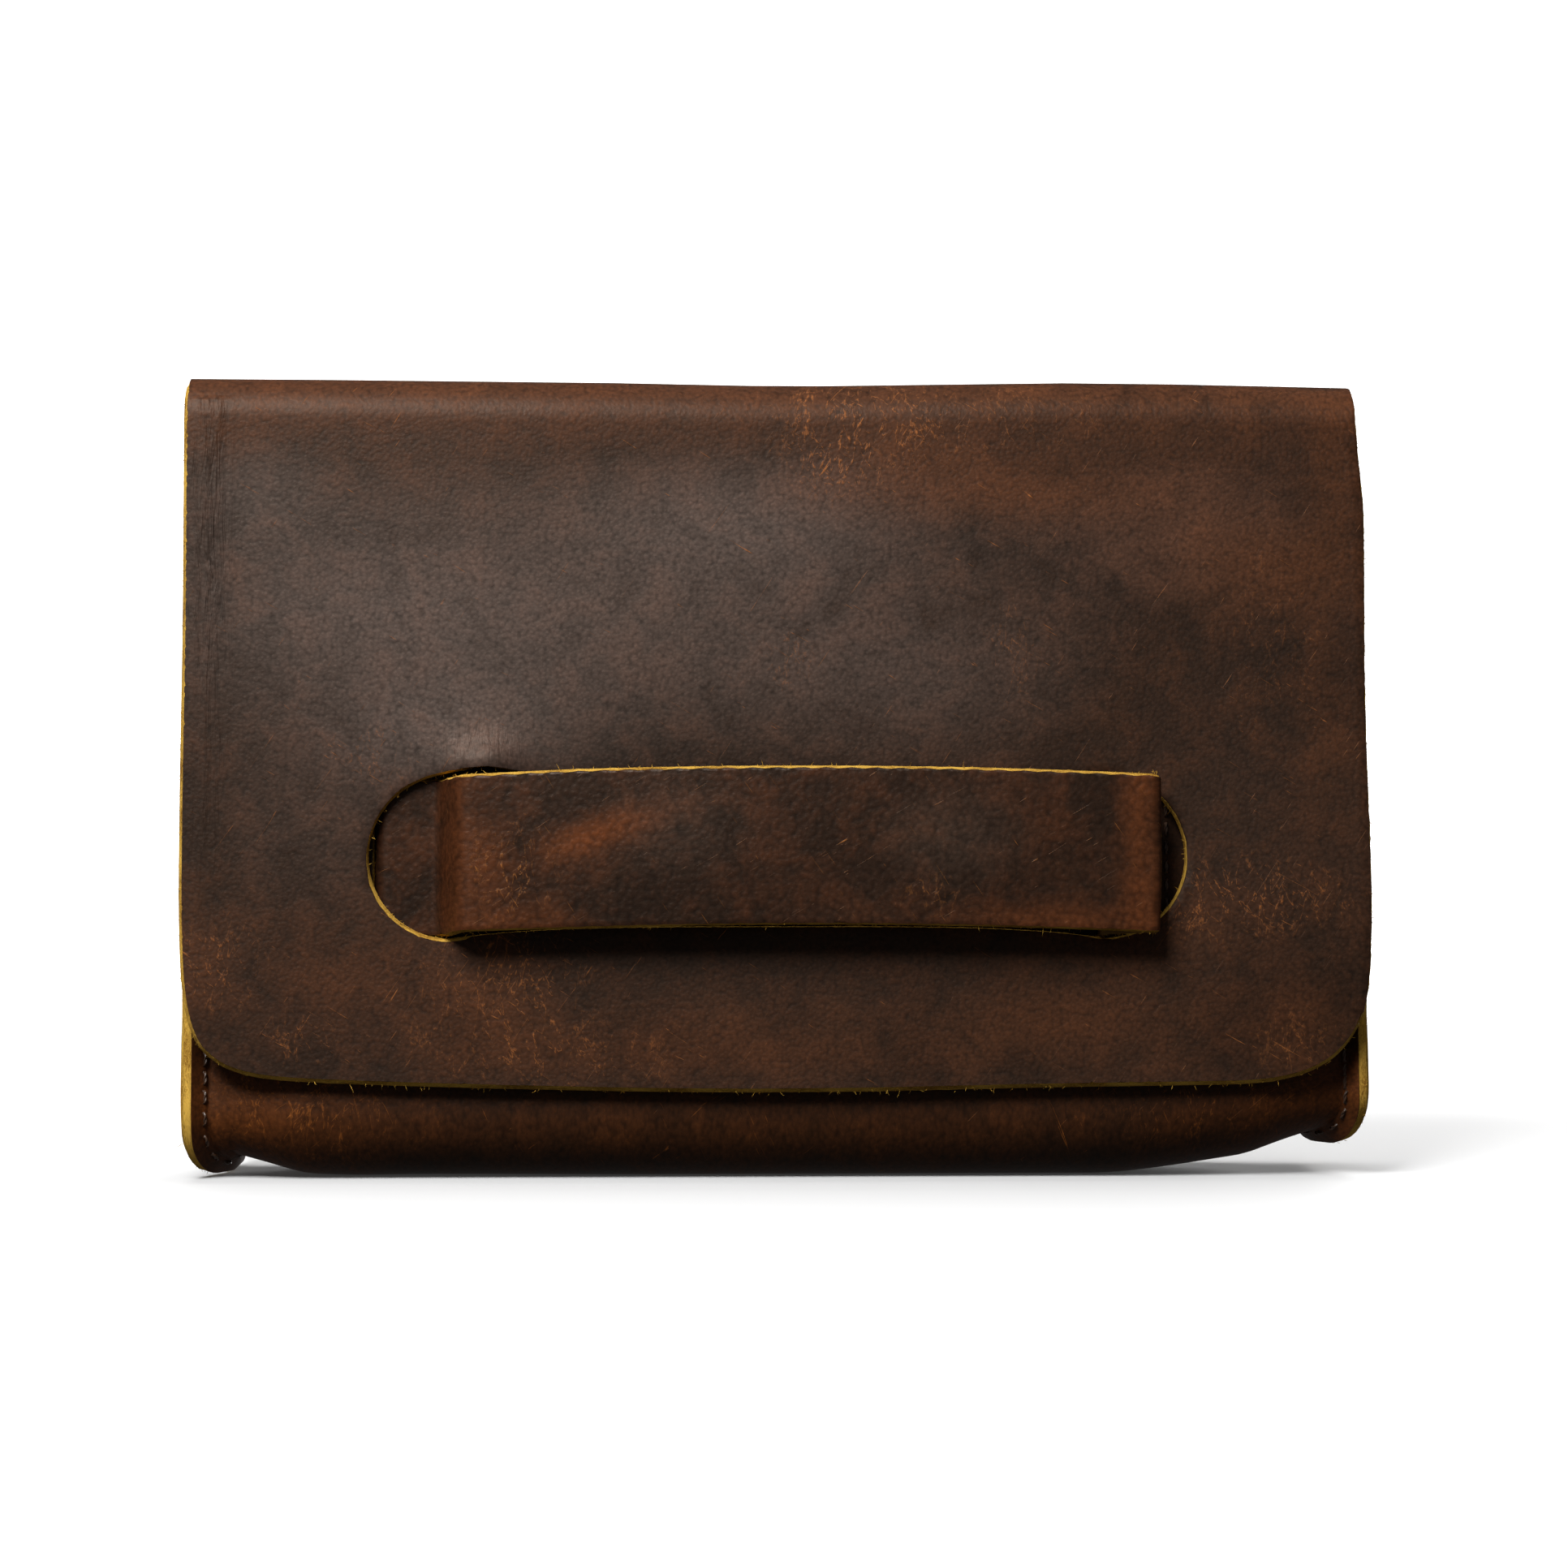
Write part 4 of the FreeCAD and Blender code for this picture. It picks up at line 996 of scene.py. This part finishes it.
def strap_stations():
    """Close together in the bends, wide apart along the grip."""
    far = [0.0]
    while far[-1] < strap_run[-1]:
        here = far[-1]
        _, ways = walk(strap_line, np.array([here, here + 1.2]))
        turning = math.acos(float(np.clip(ways[0] @ ways[1], -1, 1)))
        far.append(here + (0.35 if turning > 0.03 else 1.3))
    far[-1] = strap_run[-1]
    return np.array(far)


strap_across = strap_stations()
strap_along = even(-STRAP_WIDTH / 2, STRAP_WIDTH / 2, 1.2)
strap = leather_sheet(
    "hand_strap", [rectangle(strap_across, strap_along)], place_strap, 1, [strap_hide, suede, cut_edge],
    strap_across[1:-1], strap_along[1:-1],
    bevel=lambda p: np.where(p[:, 1] > 14, 0.62, 0.3) * (1 + 0.2 * np.sin(p[:, 0] * 1.3)), paint=paint_strap,
    hairs=1.1, seed=17, longest=1.1)
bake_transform(strap)
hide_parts("strap_grip", "strap_left_end", "strap_right_end")

# %% [markdown]
# ## The brush sleeve
# Inside the back, a strip of thinner leather is sewn down in lines, and stands away between them in round
# pockets for the brushes. Seen from above it is one wavy line, so it is another sheet, standing up.

# %% The sleeve's pockets
sleeve_low, sleeve_high = node_box("brush_sleeve")
SLEEVE_LEATHER = 1.2
POCKETS = 8
PITCH = 22.0
BACK_INSIDE = BACK_LINE + BOTTOM_LIFT - LEATHER
LAND_Y = BACK_INSIDE - SLEEVE_LEATHER / 2
CREST_Y = sleeve_low[1] + SLEEVE_LEATHER / 2
wavy, radii = [(sleeve_low[0], LAND_Y)], []
for number in range(POCKETS):
    left = (number - POCKETS / 2) * PITCH
    right = left + PITCH
    wavy += [(left + 1.9, LAND_Y), (left + 4.6, CREST_Y), (right - 4.6, CREST_Y), (right - 1.9, LAND_Y)]
    radii += [1.2, 3.0, 3.0, 1.2]
wavy.append((sleeve_high[0], LAND_Y))
sleeve_line = rounded_line(wavy, radii)
sleeve_run = distances(sleeve_line)


def place_sleeve(u, v):
    point, _ = walk(sleeve_line, u)
    return np.stack([point[..., 0], point[..., 1], v + 0 * u], -1)


def paint_sleeve(u, v):
    return np.stack([0.2 + 0.25 * hump(v, 104, 5), 0 * u, 0.3 + 0 * u], -1)


sleeve_across = even(0, sleeve_run[-1], 0.8)
sleeve_along = even(sleeve_low[UP], sleeve_high[UP], 4)
sleeve = leather_sheet(
    "brush_sleeve_pockets", [rectangle(sleeve_across, sleeve_along)], place_sleeve, 1,
    [sleeve_hide, suede, cut_edge], sleeve_across[1:-1], sleeve_along[1:-1], thick=SLEEVE_LEATHER,
    bevel=lambda p: np.full(len(p), 0.2), paint=paint_sleeve, hairs=0.15, seed=23)
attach(sleeve, "case")
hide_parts("brush_sleeve")

# %% [markdown]
# ## Stitches
# A sewn line is a row of single stitches, each a short length of two-ply thread that comes out of one
# hole, lies on the leather and goes into the next. Each stitch is two thin tubes wound round each other,
# pulled down at its ends. The same function sews every line: it only needs a surface and a row of flat
# points on it.

# %% One stitch and a sewn line
PITCH_OF_STITCH = 3.75
STITCH = 3.1
PLY = 0.3


def stitch_points(middle, along, normal):
    """Two twisted plies of one stitch, as rings of points and the faces between them."""
    across = np.cross(normal, along)
    points, faces = [], []
    stations = np.linspace(-1, 1, 11)
    for ply in (0, math.pi):
        start = len(points)
        for q in stations:
            sink = 0.34 - 0.85 * abs(q) ** 4
            twist = ply + q * 3.2
            centre = (middle + along * q * STITCH / 2 + normal * sink
                      + (across * math.cos(twist) + normal * math.sin(twist)) * PLY * 0.55)
            for k in range(6):
                angle = math.pi * k / 3
                points.append(centre + (across * math.cos(angle) + normal * math.sin(angle)) * PLY * 0.72)
        for row in range(len(stations) - 1):
            for k in range(6):
                m = (k + 1) % 6
                a, b = start + row * 6, start + (row + 1) * 6
                faces.append((a + k, a + m, b + m, b + k))
        last = start + (len(stations) - 1) * 6
        faces.append(tuple(start + k for k in reversed(range(6))))
        faces.append(tuple(last + k for k in range(6)))
    return points, faces


def sew(name, lines, node):
    """Sew lines of stitches. Each line is (place, side, flat points, thickness of the leather)."""
    points, faces = [], []
    for place, side, flat, thick in lines:
        skin = surface(place, side, flat, thick / 2)
        core = surface(place, side, flat, 0)
        for k in range(1, len(flat) - 1):
            along = skin[k + 1] - skin[k - 1]
            along /= np.linalg.norm(along)
            normal = skin[k] - core[k]
            normal -= along * (normal @ along)
            normal /= np.linalg.norm(normal)
            new_points, new_faces = stitch_points(skin[k], along, normal)
            base = len(points)
            points += new_points
            faces += [tuple(base + v for v in face) for face in new_faces]
    points = np.array(points)
    made = make_mesh(name, points, faces, [0] * len(faces), [thread], points * MM, np.zeros_like(points))
    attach(made, "case")
    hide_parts(node)
    print(f"{name}: {len(faces)} faces")
    return made


# %% Both side seams
STITCH_OUT = 1.5
seam_far = even(3, case_run[-1] - 3, PITCH_OF_STITCH)
for side, word in ((-1, "left"), (1, "right")):
    on_panel = np.stack([np.full(len(seam_far), side * (SEAM_RUN + STITCH_OUT)), seam_far], -1)
    point, way = walk(case_line, seam_far)
    outward = np.stack([-way[:, 1], way[:, 0]], -1)
    on_wall = point + outward * STITCH_OUT
    lines = [(place_panel, 1, on_panel, LEATHER), (walls[side], side, on_wall, LEATHER)]
    sew(f"{word}_seam_stitches", lines, f"{word}_seam_thread")

# %% The strap's tabs, and the sleeve
for word, slit_x, way in (("left", LEFT_SLIT, -1), ("right", RIGHT_SLIT, 1)):
    lines = []
    for share in (5.6, 12.8):
        up = np.arange(-13.1, 13.2, PITCH_OF_STITCH)
        column = slit_x + way * share
        lines.append((place_panel, 1, np.stack([np.full(len(up), column), SLOT_FAR + up], -1), LEATHER))
    sew(f"{word}_tab_stitches", lines, f"{word}_tab_thread")
sleeve_lines = []
up = even(sleeve_low[UP] + 1, sleeve_high[UP] - 1, PITCH_OF_STITCH)
for number in range(POCKETS + 1):
    across = (number - POCKETS / 2) * PITCH
    far = PANEL_TOP - up
    sleeve_lines.append((place_panel, 1, np.stack([np.full(len(up), across), far], -1), LEATHER))
    spot = float(np.interp(across, sleeve_line[:, 0], sleeve_run))
    sleeve_lines.append((place_sleeve, 1, np.stack([np.full(len(up), spot), up], -1), SLEEVE_LEATHER))
sew("sleeve_stitches", sleeve_lines, "sleeve_thread")

# %% [markdown]
# ## Table, light and camera
# The case stands on a white sweep: a floor that curves up into a wall, so that there is no horizon. One
# soft light from the upper left, well above the case, gives a real sheen on the wax, over the painted
# sheen, and the strap's shadow. A low one behind lights the back, and two large ones keep the paper
# white. The camera looks almost straight at the front, at half its height.

# %% The white sweep
SWEEP_PROFILE = rounded_line([(0, 0), (2600, 0), (2600, 2200)], [700], step=60)
TURNS = 96
sweep_points = [(0.0, 0.0, 0.0)]
for radius, height in SWEEP_PROFILE[1:]:
    for k in range(TURNS):
        angle = 2 * math.pi * k / TURNS
        sweep_points.append((radius * math.cos(angle), radius * math.sin(angle), height))
sweep_faces = [(0, 1 + k, 1 + (k + 1) % TURNS) for k in range(TURNS)]
for ring in range(len(SWEEP_PROFILE) - 2):
    low, high = 1 + ring * TURNS, 1 + (ring + 1) * TURNS
    for k in range(TURNS):
        m = (k + 1) % TURNS
        sweep_faces.append((low + k, high + k, high + m, low + m))
sweep_mesh = bpy.data.meshes.new("white_sweep")
sweep_mesh.from_pydata([tuple(np.array(p) * MM) for p in sweep_points], [], sweep_faces)
sweep_mesh.shade_smooth()
floor = bpy.data.objects.new("white_sweep", sweep_mesh)
bpy.context.scene.collection.objects.link(floor)
paper, tree = new_material("matt_white_paper")
position = add(tree, "ShaderNodeTexCoord").outputs["Object"]
tooth = add(tree, "ShaderNodeTexNoise", {"Vector": position, "Scale": per_metre(3), "Detail": 3.0})
reach = add(tree, "ShaderNodeVectorMath", {0: position}, operation="LENGTH")
glow = add(tree, "ShaderNodeMapRange", {"Value": reach.outputs["Value"], "From Min": 0.25, "From Max": 0.9,
                                        "To Min": 0.03, "To Max": 1.0})
tooth_bump = add(tree, "ShaderNodeBump", {"Height": tooth.outputs["Fac"], "Strength": 0.1, "Distance": 0.0001})
shader = add(tree, "ShaderNodeBsdfPrincipled", {
    "Base Color": linear("#d9d9d9"), "Roughness": 0.9, "Normal": tooth_bump.outputs[0],
    "Specular IOR Level": 0.2, "Emission Color": (1.0, 1.0, 1.0, 1.0), "Emission Strength": glow.outputs[0]})
add(tree, "ShaderNodeOutputMaterial", {"Surface": shader.outputs[0]})
sweep_mesh.materials.append(paper)
# Paper blown out to white would light the dark leather far too much: it only shows, and takes shadows.
floor.visible_diffuse = False
floor.visible_glossy = False
floor.visible_shadow = False


# %% Soft lights
def soft_light(name, place, aim, size, watts, colour="#ffffff"):
    """A square softbox at a place, turned to a point, both in metres."""
    lamp = bpy.data.lights.new(name, "AREA")
    lamp.size = size
    lamp.energy = watts
    lamp.color = linear(colour)[:3]
    made = bpy.data.objects.new(name, lamp)
    made.location = place
    made.rotation_euler = (Vector(aim) - Vector(place)).to_track_quat("-Z", "Y").to_euler()
    bpy.context.scene.collection.objects.link(made)
    return made


soft_light("key_softbox", (-0.32, -0.57, 0.72), (-0.02, 0, 0.09), 0.45, 12.5)
soft_light("back_softbox", (0.45, 1.1, 0.2), (0, 0.02, 0.08), 0.5, 9)
table_light = soft_light("table_softbox", (0.25, 0.7, 2.0), (0.1, 0.5, 0), 2.0, 36)
wall_light = soft_light("wall_softbox", (0, 1.2, 1.9), (0, 2.6, 0.4), 1.6, 40)
for light in (table_light, wall_light):
    light.visible_glossy = False  # they light the table, and leave no streak on the waxed bends
world = bpy.data.worlds.new("dim_room")
world.use_nodes = True
world.node_tree.nodes["Background"].inputs["Color"].default_value = (1, 1, 1, 1)
world.node_tree.nodes["Background"].inputs["Strength"].default_value = 0.085
bpy.context.scene.world = world
bpy.context.scene.view_settings.view_transform = "Standard"

# %% The camera
SENSOR = 36.0
VIEW_WIDTH = 0.3093
DISTANCE = 0.80
camera_data = bpy.data.cameras.new("camera")
camera_data.sensor_width = SENSOR
camera_data.lens = SENSOR * DISTANCE / VIEW_WIDTH
camera = bpy.data.objects.new("camera", camera_data)
TURN = math.radians(-2)  # a little to the left of straight ahead
AIM = Vector((0.0012, -0.015, 0.078))
camera.location = AIM + DISTANCE * Vector((math.sin(TURN), -math.cos(TURN), 0))
camera.rotation_euler = (math.radians(90), 0, TURN)
bpy.context.scene.collection.objects.link(camera)
bpy.context.scene.camera = camera
